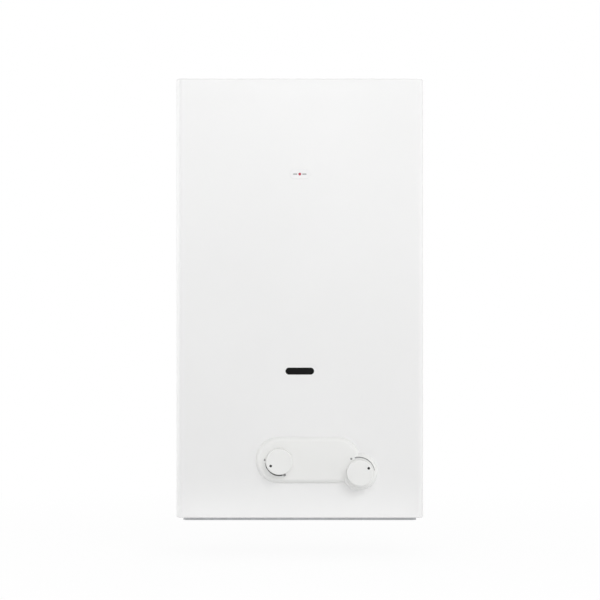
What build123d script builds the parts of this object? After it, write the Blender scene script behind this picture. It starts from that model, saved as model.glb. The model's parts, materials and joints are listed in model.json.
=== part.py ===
from build123d import *
import math
import os

# Wall-hung instantaneous gas water heater. Millimetres. Y = 0 is the wall and -Y faces the room,
# +X is to the right as seen from the room, +Z is up. Z = 0 is half way up the casing.
# Most round pieces are many-sided, which keeps the model light. A many-sided hole is drawn
# hole_spare over its shaft's radius at the corners, so that its flats clear the shaft too.

# Casing
case_width = 332.0
case_height = 590.0
case_depth = 220.0
cover_sheet = 1.0
frame_sheet = 1.2
corner_bend = 8.5
rim_bevel = 1.9
cover_to_wall = 2.0
return_flange = 16.0
half_width = case_width / 2
top_z = case_height / 2
bottom_z = -case_height / 2
front_y = -case_depth
inner_front_y = front_y + cover_sheet
wall_side_y = -frame_sheet

# Controls on the front
gas_x, gas_z = -27.4, bottom_z + 77.0
water_x, water_z = 80.0, bottom_z + 62.0
fascia_left_x, fascia_right_x = -28.0, 50.0
fascia_z = bottom_z + 78.0
fascia_half_height = 30.9
fascia_pad_radius = 24.5
fascia_rise = 8.0
fascia_edge = 6.5
fascia_edge_steps = 2
fascia_wall = 2.2
knob_radius = 17.4
knob_height = 17.0
knob_bevel = 1.2
knob_sides = 40
knob_gap = 0.6
knob_bore_depth = 14.0
dot_radius, dot_orbit, dot_depth = 1.8, 12.8, 0.8
gas_dot_angle, water_dot_angle = 209.5, 29.0
spindle_radius = 4.0
spindle_flat = 1.0
hole_spare = 0.2

# Viewing slot and badge
slot_z = bottom_z + 197.0
slot_width, slot_height = 38.4, 9.4
gasket_sheet, glass_sheet = 2.0, 2.5
badge_z = bottom_z + 461.5
badge_width, badge_height, badge_rise = 27.0, 13.0, 0.8

# Wall fixings
fixing_x, fixing_z, fixing_radius = 132.0, 240.0, 4.2

# Flue
flue_y = -105.0
flue_radius = 45.2
flue_wall = 1.0
collar_base_z, collar_top_z = 252.0, 292.0

# Heat exchanger
chamber_half_x = 94.0
chamber_back_y, chamber_front_y = -48.0, -172.0
chamber_bottom_z, chamber_top_z = -100.0, 92.0
chamber_sheet = 1.0
chamber_corner = 10.0
fin_top_z = 132.0
fin_count, fin_pitch, fin_sheet = 7, 24.0, 1.2
fin_tube_radius = 9.0
fin_tube_y = (-85.0, -135.0)
fin_tube_z = 110.0
stub_x = -chamber_half_x - 8.0
pipe_radius, pipe_bore = 6.5, 5.6
pipe_gap = 0.3
riser_x = -118.0
hot_drop_x = -126.0

# Burner
bar_count, bar_pitch = 9, 19.0
bar_top_z, bar_bottom_z = -116.0, -150.0
bar_back_y, bar_front_y = -54.0, -166.0
frame_rail_x = (bar_count - 1) / 2 * bar_pitch + 9.0
rail_sheet = 1.5
mouth_half_width, mouth_z = 3.6, (-147.5, -138.0)
manifold_y = (-191.0, -177.0)
manifold_z = (-150.0, -136.0)
manifold_middle_y = sum(manifold_y) / 2
electrode_y = -172.0
electrode_x = 28.5
gas_riser_x = -52.0

# Valves: the push rod's axis runs along X through both
rod_y, rod_z = -125.0, -222.0
rod_radius = 2.5
gas_block_x, gas_block_y, gas_block_z = (-80.0, -4.0), (-166.0, -100.0), (-246.0, -194.0)
water_block_x, water_block_y, water_block_z = (48.0, 128.0), (-144.0, -104.0), (-248.0, -206.0)
diaphragm_x = (38.0, 40.0)
housing_radius, housing_bore = 33.0, 22.5
housing_bolt_circle = 28.5
cover_flange = 8.0
tap_bore = 9.5
valve_cap_reach = 30.0
lever_x, lever_z = 9.9, -200.0
pin_radius = 1.0

# Connections at the bottom, all G 1/2
thread_radius, thread_length = 10.48, 13.0
connection_end_z = bottom_z + 4.0
cold_x, cold_y = 112.0, -124.0
gas_in_x, gas_in_y = -58.0, -124.0
hot_x, hot_y = riser_x, -42.0
hot_shoulder_z = -262.0

# Bottom plate and battery compartment
plate_half_x = 157.0
plate_y = (-212.0, -8.0)
plate_rim, plate_rim_width = 3.8, 8.0
underside_z = bottom_z - plate_rim
battery_radius, battery_length = 16.4, 60.0
battery_x, battery_z = -124.0, underside_z + 2.3 + battery_radius
drawer_x, drawer_y = (-145.5, -102.5), (-200.5, -71.5)
drawer_gap = 0.5
drawer_middle_y = sum(drawer_y) / 2
housing_wall, housing_roof_z = 2.0, bottom_z + 44


def block(x, y, z):
    """Box between two values on each axis."""
    middle = [(low + high) / 2 for low, high in (x, y, z)]
    size = [high - low for low, high in (x, y, z)]
    return Pos(*middle) * Box(*size)


def bar(start, direction, radius, length, sides=0):
    """Round or many-sided bar from a start point along a direction."""
    outline = RegularPolygon(radius, sides) if sides else Circle(radius)
    return extrude(Plane(origin=start, z_dir=direction) * outline, amount=length)


def hexagon(start, direction, across_flats, length):
    outline = RegularPolygon(across_flats / 2, 6, major_radius=False)
    return extrude(Plane(origin=start, z_dir=direction) * outline, amount=length)


def front_plane(y):
    """Plane facing the room, with its own x to the right and y up."""
    return Plane(origin=(0, y, 0), x_dir=(1, 0, 0), z_dir=(0, -1, 0))


def from_above(z):
    return Plane(origin=(0, 0, z), x_dir=(1, 0, 0), z_dir=(0, 0, 1))


def mirrored(solid):
    return mirror(solid, about=Plane.YZ)


def both_sides(solid):
    return solid + mirrored(solid)


def stadium(width, height):
    """Face with straight sides and half-round ends, each end cut into short straight lengths."""
    steps, radius = 8, height / 2
    points = []
    for step in range(steps + 1):
        angle = math.radians(-90 + 180 * step / steps)
        points.append((width / 2 - radius + radius * math.cos(angle), radius * math.sin(angle)))
    points += [(-x, -z) for x, z in points]
    return make_face(Polyline(*points, close=True))


def piped(points, radius, bends, sides=8, cuts=3, bore=0.0):
    """Bent bar or pipe: each bend's arc is cut into short straight lengths, mitred where they meet."""
    path = FilletPolyline(*points, radius=bends)
    corners = []
    for edge in path.edges():
        steps = cuts if edge.geom_type == GeomType.CIRCLE else 1
        corners += [edge @ (step / steps) for step in range(steps)]
    corners.append(path @ 1)
    section = RegularPolygon(radius, sides)
    if bore:
        section -= RegularPolygon(bore, 6)
    section = Plane(origin=corners[0], z_dir=corners[1] - corners[0]) * section
    return sweep(section, path=Polyline(*corners), transition=Transition.RIGHT)


def screw(start, direction, shank_radius, length):
    """Screw with its head's underside at start and its shank along direction."""
    head_radius, head_height = 1.75 * shank_radius, 0.7 * shank_radius
    into = Vector(*direction)
    head = bar(Vector(*start) - into * head_height, direction, head_radius, head_height, 6)
    return head + bar(start, direction, shank_radius, length, 6)


# Casing

def cover_block(inset):
    """The cover's outside, or its inside when inset by the sheet's thickness."""
    x = half_width - inset
    body = block((-x, x), (front_y + inset, -cover_to_wall + 4 * inset), (bottom_z + inset, top_z - inset))
    uprights = body.edges().filter_by(Axis.Z).group_by(Axis.Y)[0]
    return fillet(uprights, corner_bend - inset)


def front_cover():
    notch_radius = 60.0
    vent_x, vent_y, vent_pitch, vent_count = (84.0, 132.0), (-64.0, -60.0), 14.0, 4
    cover = cover_block(0)
    rims = [face.edges().group_by(Axis.Y)[:-1] for face in cover.faces().filter_by(Axis.Z)]
    cover = chamfer([edge for rim in rims for group in rim for edge in group], rim_bevel)
    cover -= cover_block(cover_sheet)
    opening_x = half_width - return_flange
    cover -= block((-opening_x, opening_x), (front_y + return_flange + 1, 0), (bottom_z - 1, bottom_z + 3))
    cover -= bar((0, flue_y, top_z - 3), (0, 0, 1), notch_radius, 6)
    cover -= block((-notch_radius, notch_radius), (flue_y, 1), (top_z - 3, top_z + 3))
    for row in range(vent_count):
        y = [edge - row * vent_pitch for edge in vent_y]
        cover -= both_sides(block(vent_x, y, (top_z - 3, top_z + 3)))
    cover -= slot_prism(inner_front_y + 1, 3)
    for x, z in ((gas_x, gas_z), (water_x, water_z)):
        cover -= bar((x, inner_front_y + 1, z), (0, -1, 0), 9.0, 3, 16)
    for clip in fascia_clips(0.2):
        cover -= clip
    for x, y in cover_screw_places():
        cover -= bar((x, y, bottom_z - 1), (0, 0, 1), 1.95, 3, 6)
    return cover


def cover_screw_places():
    side_x = half_width - return_flange + 3
    return [(-side_x, -180.0), (side_x, -180.0), (-side_x, -50.0), (side_x, -50.0)]


def foot_screw_places():
    return [(-90.0, -13.0), (90.0, -13.0)]


def back_plate():
    wide, high = half_width - cover_sheet - 0.5, top_z - cover_sheet
    flange_depth = 26.0
    rib_x, rib_width, rib_depth, rib_half_length = 88.0, 14.0, 3.2, 190.0
    plate = block((-wide, wide), (wall_side_y, 0), (bottom_z, high))
    plate += both_sides(block((wide - frame_sheet, wide), (-flange_depth, 0), (bottom_z + 18, high - 12)))
    plate += block((-wide + 16, wide - 16), (-18, 0), (high - frame_sheet, high))
    plate += block((-146, 146), (-flange_depth, 0), (bottom_z, bottom_z + frame_sheet))
    rib = block((rib_x, rib_x + rib_width), (-rib_depth, wall_side_y), (-rib_half_length, rib_half_length))
    groove_x = (rib_x + frame_sheet, rib_x + rib_width - frame_sheet)
    groove_half = rib_half_length - frame_sheet
    groove = block(groove_x, (-rib_depth + frame_sheet, 1), (-groove_half, groove_half))
    plate = plate + both_sides(rib) - both_sides(groove)
    for x in (-fixing_x, fixing_x):
        for z in (-fixing_z, fixing_z):
            plate -= bar((x, -3, z), (0, 1, 0), fixing_radius, 6)
    key_z, key_drop, key_head, key_neck = 282.0, 12.0, 7.0, 3.6
    plate -= bar((0, -3, key_z - key_drop), (0, 1, 0), key_head, 6, 12)
    plate -= block((-key_neck, key_neck), (-3, 3), (key_z - key_drop, key_z))
    window = chamfer(block((-60, 76), (-3, 3), (-272, -206)).edges().filter_by(Axis.Y), 8)
    plate -= window
    for x, y in foot_screw_places():
        plate -= bar((x, y, bottom_z - 1), (0, 0, 1), 1.95, 4, 6)
    return plate


def pipe_holes():
    return [(cold_x, cold_y), (gas_in_x, gas_in_y), (hot_x, hot_y)]


def bottom_plate():
    hole_radius, corner = 17.0, 7.0
    plate = block((-plate_half_x, plate_half_x), plate_y, (underside_z, bottom_z))
    plate = chamfer(plate.edges().filter_by(Axis.Z), corner)
    inner_x = plate_half_x - plate_rim_width
    inner_y = (plate_y[0] + plate_rim_width, plate_y[1] - plate_rim_width)
    plate -= block((-inner_x, inner_x), inner_y, (underside_z + frame_sheet, bottom_z + 1))
    for x, y in pipe_holes():
        plate -= bar((x, y, underside_z - 1), (0, 0, 1), hole_radius, 6, 16)
    drawer_hole_x = (drawer_x[0] - drawer_gap, drawer_x[1] + drawer_gap)
    drawer_hole_y = (drawer_y[0] - drawer_gap, drawer_y[1] + drawer_gap)
    plate -= block(drawer_hole_x, drawer_hole_y, (underside_z - 1, bottom_z + 1))
    air_slots = [(-190 + 12 * row, -185 + 12 * row) for row in range(4)]
    air_slots += [(-86 + 12 * row, -81 + 12 * row) for row in range(4)]
    for y in air_slots:
        plate -= block((-38, 82), y, (underside_z - 1, bottom_z + 1))
    plate -= bar((44.5, rod_y, underside_z - 1), (0, 0, 1), 8.0, 6, 12)
    for x, y in cover_screw_places() + foot_screw_places():
        plate -= bar((x, y, underside_z - 1), (0, 0, 1), 1.95, 6, 6)
    return plate


def badge():
    outline = Pos(0, badge_z) * stadium(badge_width, badge_height)
    return extrude(front_plane(front_y) * outline, amount=badge_rise)


def screws():
    """The cover's four screws and the bottom plate's two, all alike."""
    return [screw((x, y, underside_z), (0, 0, 1), 1.8, 6.0) for x, y in cover_screw_places() + foot_screw_places()]


# Viewing window

def slot_prism(y, depth):
    """Bar with round ends, the size of the viewing slot, from y towards the room."""
    outline = Pos(0, slot_z) * stadium(slot_width, slot_height)
    return extrude(front_plane(y) * outline, amount=depth)


def sight_gasket():
    y = (inner_front_y, inner_front_y + gasket_sheet)
    pad = block((-26, 26), y, (slot_z - 11, slot_z + 11))
    return pad - block((-20, 20), (y[0] - 1, y[1] + 1), (slot_z - 5.5, slot_z + 5.5))


def sight_glass():
    y = inner_front_y + gasket_sheet
    return block((-26, 26), (y, y + glass_sheet), (slot_z - 11, slot_z + 11))


def sight_retainer():
    y = inner_front_y + gasket_sheet + glass_sheet
    frame = block((-27, 27), (y, y + 1), (slot_z - 12, slot_z + 12))
    frame -= block((-21, 21), (y - 1, y + 2), (slot_z - 6.5, slot_z + 6.5))
    height = (slot_z - 7, slot_z + 7)
    leg = block((26.2, 27.2), (inner_front_y, y + 1), height)
    foot = block((26.2, 35), (inner_front_y, inner_front_y + 1), height)
    return frame + both_sides(leg + foot)


# Control panel

def pillow_edge(radius):
    """Points of the fascia's rounded edge, as distance from the middle and rise from the cover."""
    points = [(radius, 0)]
    for step in range(fascia_edge_steps + 1):
        angle = math.radians(90 * step / fascia_edge_steps)
        inwards = fascia_edge * (1 - math.cos(angle))
        down = fascia_edge * (1 - math.sin(angle))
        points.append((radius - inwards, fascia_rise - down))
    return points


def pillow_disc(x, z, radius):
    section = make_face(Plane.XZ * Polyline((0, 0), *pillow_edge(radius), (0, fascia_rise), close=True))
    return Plane(origin=(x, front_y, z), x_dir=(1, 0, 0), z_dir=(0, -1, 0)) * revolve(section, axis=Axis.Z)


def pillow_bar():
    """The straight stretch between the fascia's two round ends."""
    edge = pillow_edge(fascia_half_height)
    other = [(-across, rise) for across, rise in reversed(edge)]
    across_x = Plane(origin=(fascia_left_x, front_y, fascia_z), x_dir=(0, 0, 1), z_dir=(1, 0, 0))
    section = across_x * make_face(Polyline(*edge, *other, close=True))
    return extrude(section, amount=fascia_right_x - fascia_left_x)


def fascia_clips(spare=0.0):
    """Flat tongues behind the fascia, or their holes in the cover when given some spare room."""
    clips = []
    for x, z in ((fascia_left_x - 21, fascia_z), (28.0, fascia_z - 19), (28.0, fascia_z + 19)):
        half_x, half_z = 1.2 + spare, 4.0 + spare
        y = (front_y - fascia_rise + 1, front_y + 4)
        clips.append(block((x - half_x, x + half_x), y, (z - half_z, z + half_z)))
    return clips


def fascia():
    left = pillow_disc(fascia_left_x, fascia_z, fascia_half_height)
    right = pillow_disc(fascia_right_x, fascia_z, fascia_half_height)
    pad = pillow_disc(water_x, water_z, fascia_pad_radius)
    shell = left + pillow_bar() + right + pad
    depth, reach = 1 + fascia_rise - fascia_wall, fascia_half_height - fascia_wall - 2.6
    for x in (fascia_left_x, fascia_right_x):
        shell -= bar((x, front_y + 1, fascia_z), (0, -1, 0), reach, depth, 24)
    middle = (fascia_z - reach, fascia_z + reach)
    shell -= block((fascia_left_x, fascia_right_x), (front_y + 1 - depth, front_y + 1), middle)
    for x, z in ((gas_x, gas_z), (water_x, water_z)):
        shell -= bar((x, front_y + 1, z), (0, -1, 0), 5.5, fascia_rise + 2, 24)
    for clip in fascia_clips():
        shell += clip
    return shell


def knob(x, z, dot_angle):
    """Turning knob with a bore for the flatted spindle and a dimple for the index dot."""
    body = bar((0, 0, 0), (0, 0, 1), knob_radius, knob_height, knob_sides)
    body = chamfer(body.edges().group_by(Axis.Z)[-1], knob_bevel)
    bore = bar((0, 0, -1), (0, 0, 1), spindle_radius + hole_spare, knob_bore_depth + 1, 16)
    body -= bore - block((-8, 8), (spindle_radius - spindle_flat + 0.05, 8), (-2, knob_height))
    angle = math.radians(dot_angle)
    dot_at = (dot_orbit * math.cos(angle), dot_orbit * math.sin(angle), knob_height - dot_depth)
    body -= bar(dot_at, (0, 0, 1), dot_radius, 2, 12)
    base_y = front_y - fascia_rise - knob_gap
    return Plane(origin=(x, base_y, z), x_dir=(1, 0, 0), z_dir=(0, -1, 0)) * body


def spindle(x, z, inner_y):
    """Round shaft with a flat on the end that the knob grips."""
    tip_y = front_y - fascia_rise - knob_gap - knob_bore_depth + 0.5
    shaft = bar((x, inner_y, z), (0, -1, 0), spindle_radius, inner_y - tip_y, 16)
    flat_z = (z + spindle_radius - spindle_flat, z + spindle_radius + 1)
    return shaft - block((x - 6, x + 6), (tip_y - 1, tip_y + knob_bore_depth + 1), flat_z)


# Flue hood

def hood_form(inset):
    """Straight skirt with sloping shoulders above: its front view and its side view, crossed."""
    skirt_x = chamber_half_x + frame_sheet - inset
    front, back = chamber_front_y - frame_sheet + inset, chamber_back_y + frame_sheet - inset
    low, shoulder, top = fin_top_z - 8 - inset, 176.0, collar_base_z - inset
    neck_x, neck_front, neck_back = 60 - inset, flue_y - 56 + inset, flue_y + 56 - inset
    right = [(skirt_x, low), (skirt_x, shoulder), (neck_x, top)]
    left = [(-x, z) for x, z in reversed(right)]
    front_view = make_face(front_plane(back + 1) * Polyline(*right, *left, close=True))
    profile = [(back, low), (back, shoulder), (neck_back, top), (neck_front, top), (front, shoulder), (front, low)]
    side = Plane(origin=(-skirt_x - 1, 0, 0), x_dir=(0, 1, 0), z_dir=(1, 0, 0))
    side_view = make_face(side * Polyline(*profile, close=True))
    return extrude(front_view, amount=back - front + 2) & extrude(side_view, amount=2 * skirt_x + 2)


def draft_hood():
    hood = hood_form(0) - hood_form(frame_sheet)
    hood -= bar((0, flue_y, collar_base_z - 4), (0, 0, 1), flue_radius + 3, 8, 24)
    return hood - block((-72, 72), (chamber_front_y - 5, chamber_front_y + 5), (148, 166))


def hood_baffle():
    depth = (chamber_front_y, chamber_back_y)
    lip = block((51, 52), depth, (166, 175))
    return block((-52, 52), depth, (174, 175)) + both_sides(lip)


def flue_collar():
    outer, flange = flue_radius + flue_wall + 0.2, flue_radius + 8
    collar = bar((0, flue_y, collar_base_z), (0, 0, 1), outer, collar_top_z - collar_base_z, 48)
    base_z = (collar_base_z, collar_base_z + flue_wall)
    collar += block((-flange, flange), (flue_y - flange, flue_y + flange), base_z)
    return collar - bar((0, flue_y, collar_base_z - 1), (0, 0, 1), flue_radius, 60)


def hood_strap():
    top = block((-18, 18), (flue_y + 54, wall_side_y), (collar_base_z, collar_base_z + frame_sheet))
    foot = block((-18, 18), (wall_side_y - frame_sheet, wall_side_y), (collar_base_z - 26, collar_base_z))
    return top + foot


# Heat exchanger

def cut_corners(width, depth, cut):
    outline = Rectangle(width, depth)
    return chamfer(outline.vertices(), cut)


def chamber_shell():
    depth, middle = chamber_back_y - chamber_front_y, (chamber_back_y + chamber_front_y) / 2
    outside = Pos(0, middle) * cut_corners(2 * chamber_half_x, depth, chamber_corner)
    inner_width, inner_depth = 2 * (chamber_half_x - chamber_sheet), depth - 2 * chamber_sheet
    inside = Pos(0, middle) * cut_corners(inner_width, inner_depth, chamber_corner - chamber_sheet / 2)
    shell = extrude(from_above(chamber_bottom_z) * (outside - inside), amount=chamber_top_z - chamber_bottom_z)
    lip_outline = Pos(0, middle) * Rectangle(2 * chamber_half_x + 6, depth + 6)
    lip = extrude(from_above(chamber_bottom_z) * (lip_outline - inside), amount=frame_sheet)
    return shell + lip


def fin_block():
    """Water tubes with a stack of fins, in a copper surround, with the return bend on the right."""
    wall = 1.5
    back, front = chamber_back_y, chamber_front_y
    inner_x = chamber_half_x - wall
    core = block((-chamber_half_x, chamber_half_x), (front, back), (chamber_top_z, fin_top_z))
    core -= block((-inner_x, inner_x), (front + wall, back - wall), (chamber_top_z - 1, fin_top_z + 1))
    for index in range(fin_count):
        x = (index - (fin_count - 1) / 2) * fin_pitch
        span = (x - fin_sheet / 2, x + fin_sheet / 2)
        core += block(span, (front + wall / 2, back - wall / 2), (chamber_top_z + 3, fin_top_z - 3))
    bend_x = chamber_half_x + 14
    reach = (fin_tube_y[0] - fin_tube_y[1]) / 2
    ends = [(stub_x, y, fin_tube_z) for y in fin_tube_y]
    corners = [(bend_x + reach / 2, y, fin_tube_z) for y in fin_tube_y]
    run = [ends[0], corners[0], corners[1], ends[1]]
    return core + piped(run, fin_tube_radius, reach - 1, 8, 4)


def water_coil():
    """Copper pipe wound round the chamber, then up into the front tube of the fins."""
    x = chamber_half_x + pipe_radius + pipe_gap
    front = chamber_front_y - pipe_radius - pipe_gap
    back = chamber_back_y + pipe_radius + pipe_gap
    inlet_y = fin_tube_y[1]
    points = [
        (x, -70, -62),
        (x, front, -62),
        (-x, front, -42),
        (-x, back, -30),
        (x, back, -10),
        (x, front, 2),
        (-x, front, 22),
        (riser_x, inlet_y, 30),
        (riser_x, inlet_y, fin_tube_z),
        (stub_x, inlet_y, fin_tube_z),
    ]
    return piped(points, pipe_radius, [16, 16, 16, 16, 16, 16, 12, 10], bore=pipe_bore)


def cold_pipe():
    """Pipe from the water valve up to the coil, with its union nut."""
    x = chamber_half_x + pipe_radius + pipe_gap
    start = (cold_x, cold_y, water_block_z[1] + 8)
    points = [start, (cold_x, cold_y, -150), (x, -24, -112), (x, -24, -62), (x, -70, -62)]
    nut = hexagon(start, (0, 0, 1), 24, 9) - bar(start, (0, 0, 1), pipe_bore, 9, 12)
    return piped(points, pipe_radius, [22, 18, 18], bore=pipe_bore) + nut


def threaded_end(x, y, shoulder_z):
    """G 1/2 thread below a hexagon."""
    hex_z = connection_end_z + thread_length
    stub = bar((x, y, connection_end_z), (0, 0, 1), thread_radius, thread_length)
    return stub + hexagon((x, y, hex_z), (0, 0, 1), 25, shoulder_z - hex_z)


def hot_pipe():
    """Pipe from the fins down to the outlet thread that is brazed on its end."""
    outlet_y = fin_tube_y[0]
    points = [
        (stub_x, outlet_y, fin_tube_z),
        (hot_drop_x, outlet_y, fin_tube_z),
        (hot_drop_x, outlet_y, -168),
        (hot_x, hot_y, -206),
        (hot_x, hot_y, hot_shoulder_z),
    ]
    fitting = threaded_end(hot_x, hot_y, hot_shoulder_z)
    fitting -= bar((hot_x, hot_y, connection_end_z - 1), (0, 0, 1), 6.0, 24, 12)
    return piped(points, pipe_radius, [11, 24, 22], bore=pipe_bore) + fitting


def outlet_bracket():
    """Clip plate that rests on the outlet's hexagon and is fixed to the back plate."""
    z = hot_shoulder_z
    plate = block((hot_x - 18, hot_x + 18), (hot_y - 12, wall_side_y), (z, z + 1.5))
    plate -= bar((hot_x, hot_y, z - 1), (0, 0, 1), 7.2, 4, 12)
    return plate + block((hot_x - 18, hot_x + 18), (wall_side_y - 1.5, wall_side_y), (z, z + 16))


def exchanger_brackets():
    x, z = (62.0, 78.0), 100.0
    arm = block(x, (chamber_back_y, wall_side_y), (z, z + 1.5))
    grip = block(x, (chamber_back_y, chamber_back_y + 1.5), (z, z + 24))
    foot = block(x, (wall_side_y - 1.5, wall_side_y), (z - 20, z))
    return both_sides(arm + grip + foot)


def heat_shield():
    half_x, low, high, front, sheet = 80.0, -70.0, 76.0, -17.0, 0.8
    shield = block((-half_x, half_x), (front, front + sheet), (low, high))
    shield += block((-half_x, half_x), (front, wall_side_y), (low, low + sheet))
    shield += block((-half_x, half_x), (front, wall_side_y), (high - sheet, high))
    for x in (-56, -28, 0, 28, 56):
        shield += block((x - 3, x + 3), (front - 1.2, front), (low + 14, high - 14))
    return shield


# Burner

def bar_places():
    return [(index - (bar_count - 1) / 2) * bar_pitch for index in range(bar_count)]


def burner_bars():
    half_base, half_neck, half_head = 5.0, 2.6, 4.4
    right = [
        (half_base, bar_bottom_z),
        (half_base, bar_bottom_z + 13),
        (half_neck, bar_bottom_z + 18),
        (half_neck, bar_top_z - 10),
        (half_head, bar_top_z - 6),
        (half_head, bar_top_z),
    ]
    left = [(-x, z) for x, z in reversed(right)]
    outline = make_face(front_plane(bar_back_y) * Polyline(*right, *left, close=True))
    strip = extrude(outline, amount=bar_back_y - bar_front_y)
    strip -= block((-mouth_half_width, mouth_half_width), (bar_front_y - 1, bar_front_y + 14), mouth_z)
    port_count, port_pitch = 2, 50.0
    for index in range(port_count):
        y = (bar_back_y + bar_front_y) / 2 + (index - (port_count - 1) / 2) * port_pitch
        strip -= block((-1.6, 1.6), (y - 21, y + 21), (bar_top_z - 3, bar_top_z + 1))
    return [Pos(x, 0, 0) * strip for x in bar_places()]


def burner_frame():
    x, sheet = frame_rail_x, rail_sheet
    front, back = (bar_front_y - sheet, bar_front_y), (bar_back_y, bar_back_y + sheet)
    z = (bar_bottom_z - 2, bar_top_z - 4)
    frame = block((-x, x), front, z) + block((-x, x), back, z)
    rail = block((x, x + sheet), (front[0], back[1]), z)
    arm = block((x - 12, x), (back[1], wall_side_y), (z[0], z[0] + sheet))
    foot = block((x - 12, x), (wall_side_y - sheet, wall_side_y), (z[0], z[0] + 22))
    frame += both_sides(rail + arm + foot)
    for mouth_x in bar_places():
        span = (mouth_x - mouth_half_width, mouth_x + mouth_half_width)
        frame -= block(span, (front[0] - 1, front[1] + 1), mouth_z)
    return frame


def gas_manifold():
    half_x, wall, ear = 86.0, 1.5, 12.0
    pipe = block((-half_x, half_x), manifold_y, manifold_z)
    inner_y = (manifold_y[0] + wall, manifold_y[1] - wall)
    inner_z = (manifold_z[0] + wall, manifold_z[1] - wall)
    pipe -= block((-half_x + 2, half_x - 2), inner_y, inner_z)
    pipe -= bar((gas_riser_x, manifold_middle_y, manifold_z[0] - 1), (0, 0, 1), 5.0, 4, 12)
    return pipe + both_sides(block((half_x, half_x + ear), (manifold_y[1] - 2, manifold_y[1]), manifold_z))


def injectors():
    z = sum(mouth_z) / 2
    return [hexagon((x, manifold_y[1], z), (0, 1, 0), 6.0, 7.0) for x in bar_places()]


def manifold_brackets():
    """Arms that hold the gas manifold to the burner frame's side rails."""
    x, sheet = frame_rail_x + rail_sheet, 1.5
    arm = block((x, x + sheet), (manifold_y[1], bar_front_y + 30), manifold_z)
    ear = block((x, x + 11), (manifold_y[1], manifold_y[1] + sheet), manifold_z)
    return both_sides(arm + ear)


def gas_riser():
    x, y, foot_z = gas_riser_x, manifold_middle_y, gas_block_z[1]
    riser = bar((x, y, foot_z), (0, 0, 1), 7.0, manifold_z[0] - foot_z, 12)
    riser += block((x - 12, x + 12), (y - 9, y + 9), (foot_z, foot_z + 3))
    return riser - bar((x, y, foot_z - 1), (0, 0, 1), 5.0, 60, 12)


def electrode(x, tip, bend):
    """Ceramic sleeve with the metal rod that reaches over the burner."""
    ceramic = bar((x, electrode_y, bar_bottom_z - 6), (0, 0, 1), 2.8, 40, 8)
    collar = bar((x, electrode_y, bar_top_z - 1), (0, 0, 1), 4.4, 4, 8)
    wire = piped([(x, electrode_y, bar_top_z - 2), *tip], 0.9, bend, 6)
    return ceramic + collar + wire


def spark_electrode():
    x, y, z = -electrode_x, electrode_y, bar_top_z
    return electrode(x, [(x, y, z + 16), (x + 7.5, y + 22, z + 9)], 4)


def flame_probe():
    x, y, z = electrode_x, electrode_y, bar_top_z
    return electrode(x, [(x, y, z + 14), (x, y + 34, z + 14)], 4)


def electrode_bracket():
    z = bar_top_z - 4
    plate = block((-38, 38), (electrode_y - 6, bar_front_y), (z, z + 1.5))
    plate -= block((-22, 22), (electrode_y - 7, electrode_y + 2), (z - 1, z + 3))
    for x in (-electrode_x, electrode_x):
        plate -= bar((x, electrode_y, z - 1), (0, 0, 1), 3.0, 4, 8)
    return plate


# Gas valve

def gas_valve_body():
    low_x, high_x = gas_block_x
    body = block(gas_block_x, gas_block_y, gas_block_z)
    body = chamfer(body.edges().filter_by(Axis.X), 5)
    outlet_y = (manifold_middle_y - 9, gas_block_y[0] + 1)
    body += block((gas_riser_x - 12, gas_riser_x + 12), outlet_y, (gas_block_z[1] - 18, gas_block_z[1]))
    body += threaded_end(gas_in_x, gas_in_y, gas_block_z[0])
    body -= bar((low_x - 1, rod_y, rod_z), (1, 0, 0), 13, 65, 12)
    body -= bar((-17, rod_y, rod_z), (1, 0, 0), 7, 6, 12)
    body -= bar((-12, rod_y, rod_z), (1, 0, 0), 11, 9, 12)
    body -= bar((gas_x, -146, gas_z), (0, -1, 0), tap_bore, 22, 24)
    body -= bar((gas_in_x, gas_in_y, connection_end_z - 1), (0, 0, 1), 7.5, 60, 12)
    return body - bar((gas_riser_x, manifold_middle_y, gas_block_z[1] - 12), (0, 0, 1), 5, 13, 12)


def gas_valve_cap():
    start = (gas_block_x[0], rod_y, rod_z)
    return hexagon(start, (-1, 0, 0), 30, 6) + bar(start, (1, 0, 0), 12.9, valve_cap_reach, 12)


def gas_tap_bonnet():
    y = gas_block_y[0]
    bonnet = hexagon((gas_x, y, gas_z), (0, -1, 0), 21, 5)
    return bonnet - bar((gas_x, y + 1, gas_z), (0, -1, 0), spindle_radius + hole_spare, 8, 16)


def gas_tap_plug():
    """Plug that opens the gas way as it turns."""
    return bar((gas_x, gas_block_y[0] + 0.3, gas_z), (0, 1, 0), tap_bore - hole_spare, 18.5, 24)


def gas_spindle():
    return spindle(gas_x, gas_z, gas_block_y[0] + 0.3)


def main_valve_disc():
    """Disc that closes the gas seat, with the stem that the push rod lifts it by."""
    seat_x, thick, stem = -17.0, 3.0, 10.7
    disc = bar((seat_x - thick, rod_y, rod_z), (1, 0, 0), 10, thick, 12)
    return disc + bar((seat_x, rod_y, rod_z), (1, 0, 0), 2.0, stem, 8)


def valve_spring():
    """Spring between the cap and the valve disc, drawn as a sleeve."""
    start_x, end_x = gas_block_x[0] + valve_cap_reach, -20.0
    sleeve = bar((start_x, rod_y, rod_z), (1, 0, 0), 8.0, end_x - start_x, 16)
    return sleeve - bar((start_x - 1, rod_y, rod_z), (1, 0, 0), 6.6, 60, 16)


def rod_gland():
    x = gas_block_x[1]
    gland = hexagon((x, rod_y, rod_z), (1, 0, 0), 26, 4) + bar((x, rod_y, rod_z), (-1, 0, 0), 10.8, 1.5, 12)
    return gland - bar((x - 3, rod_y, rod_z), (1, 0, 0), rod_radius + hole_spare, 9, 12)


def gas_solenoid():
    x, y, z = -57.0, -124.0, gas_block_z[1]
    coil = bar((x, y, z), (0, 0, 1), 12, 24, 16) + bar((x, y, z + 24), (0, 0, 1), 5, 5, 12)
    return coil + block((x - 6, x + 6), (y + 10, y + 17), (z + 6, z + 16))


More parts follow.
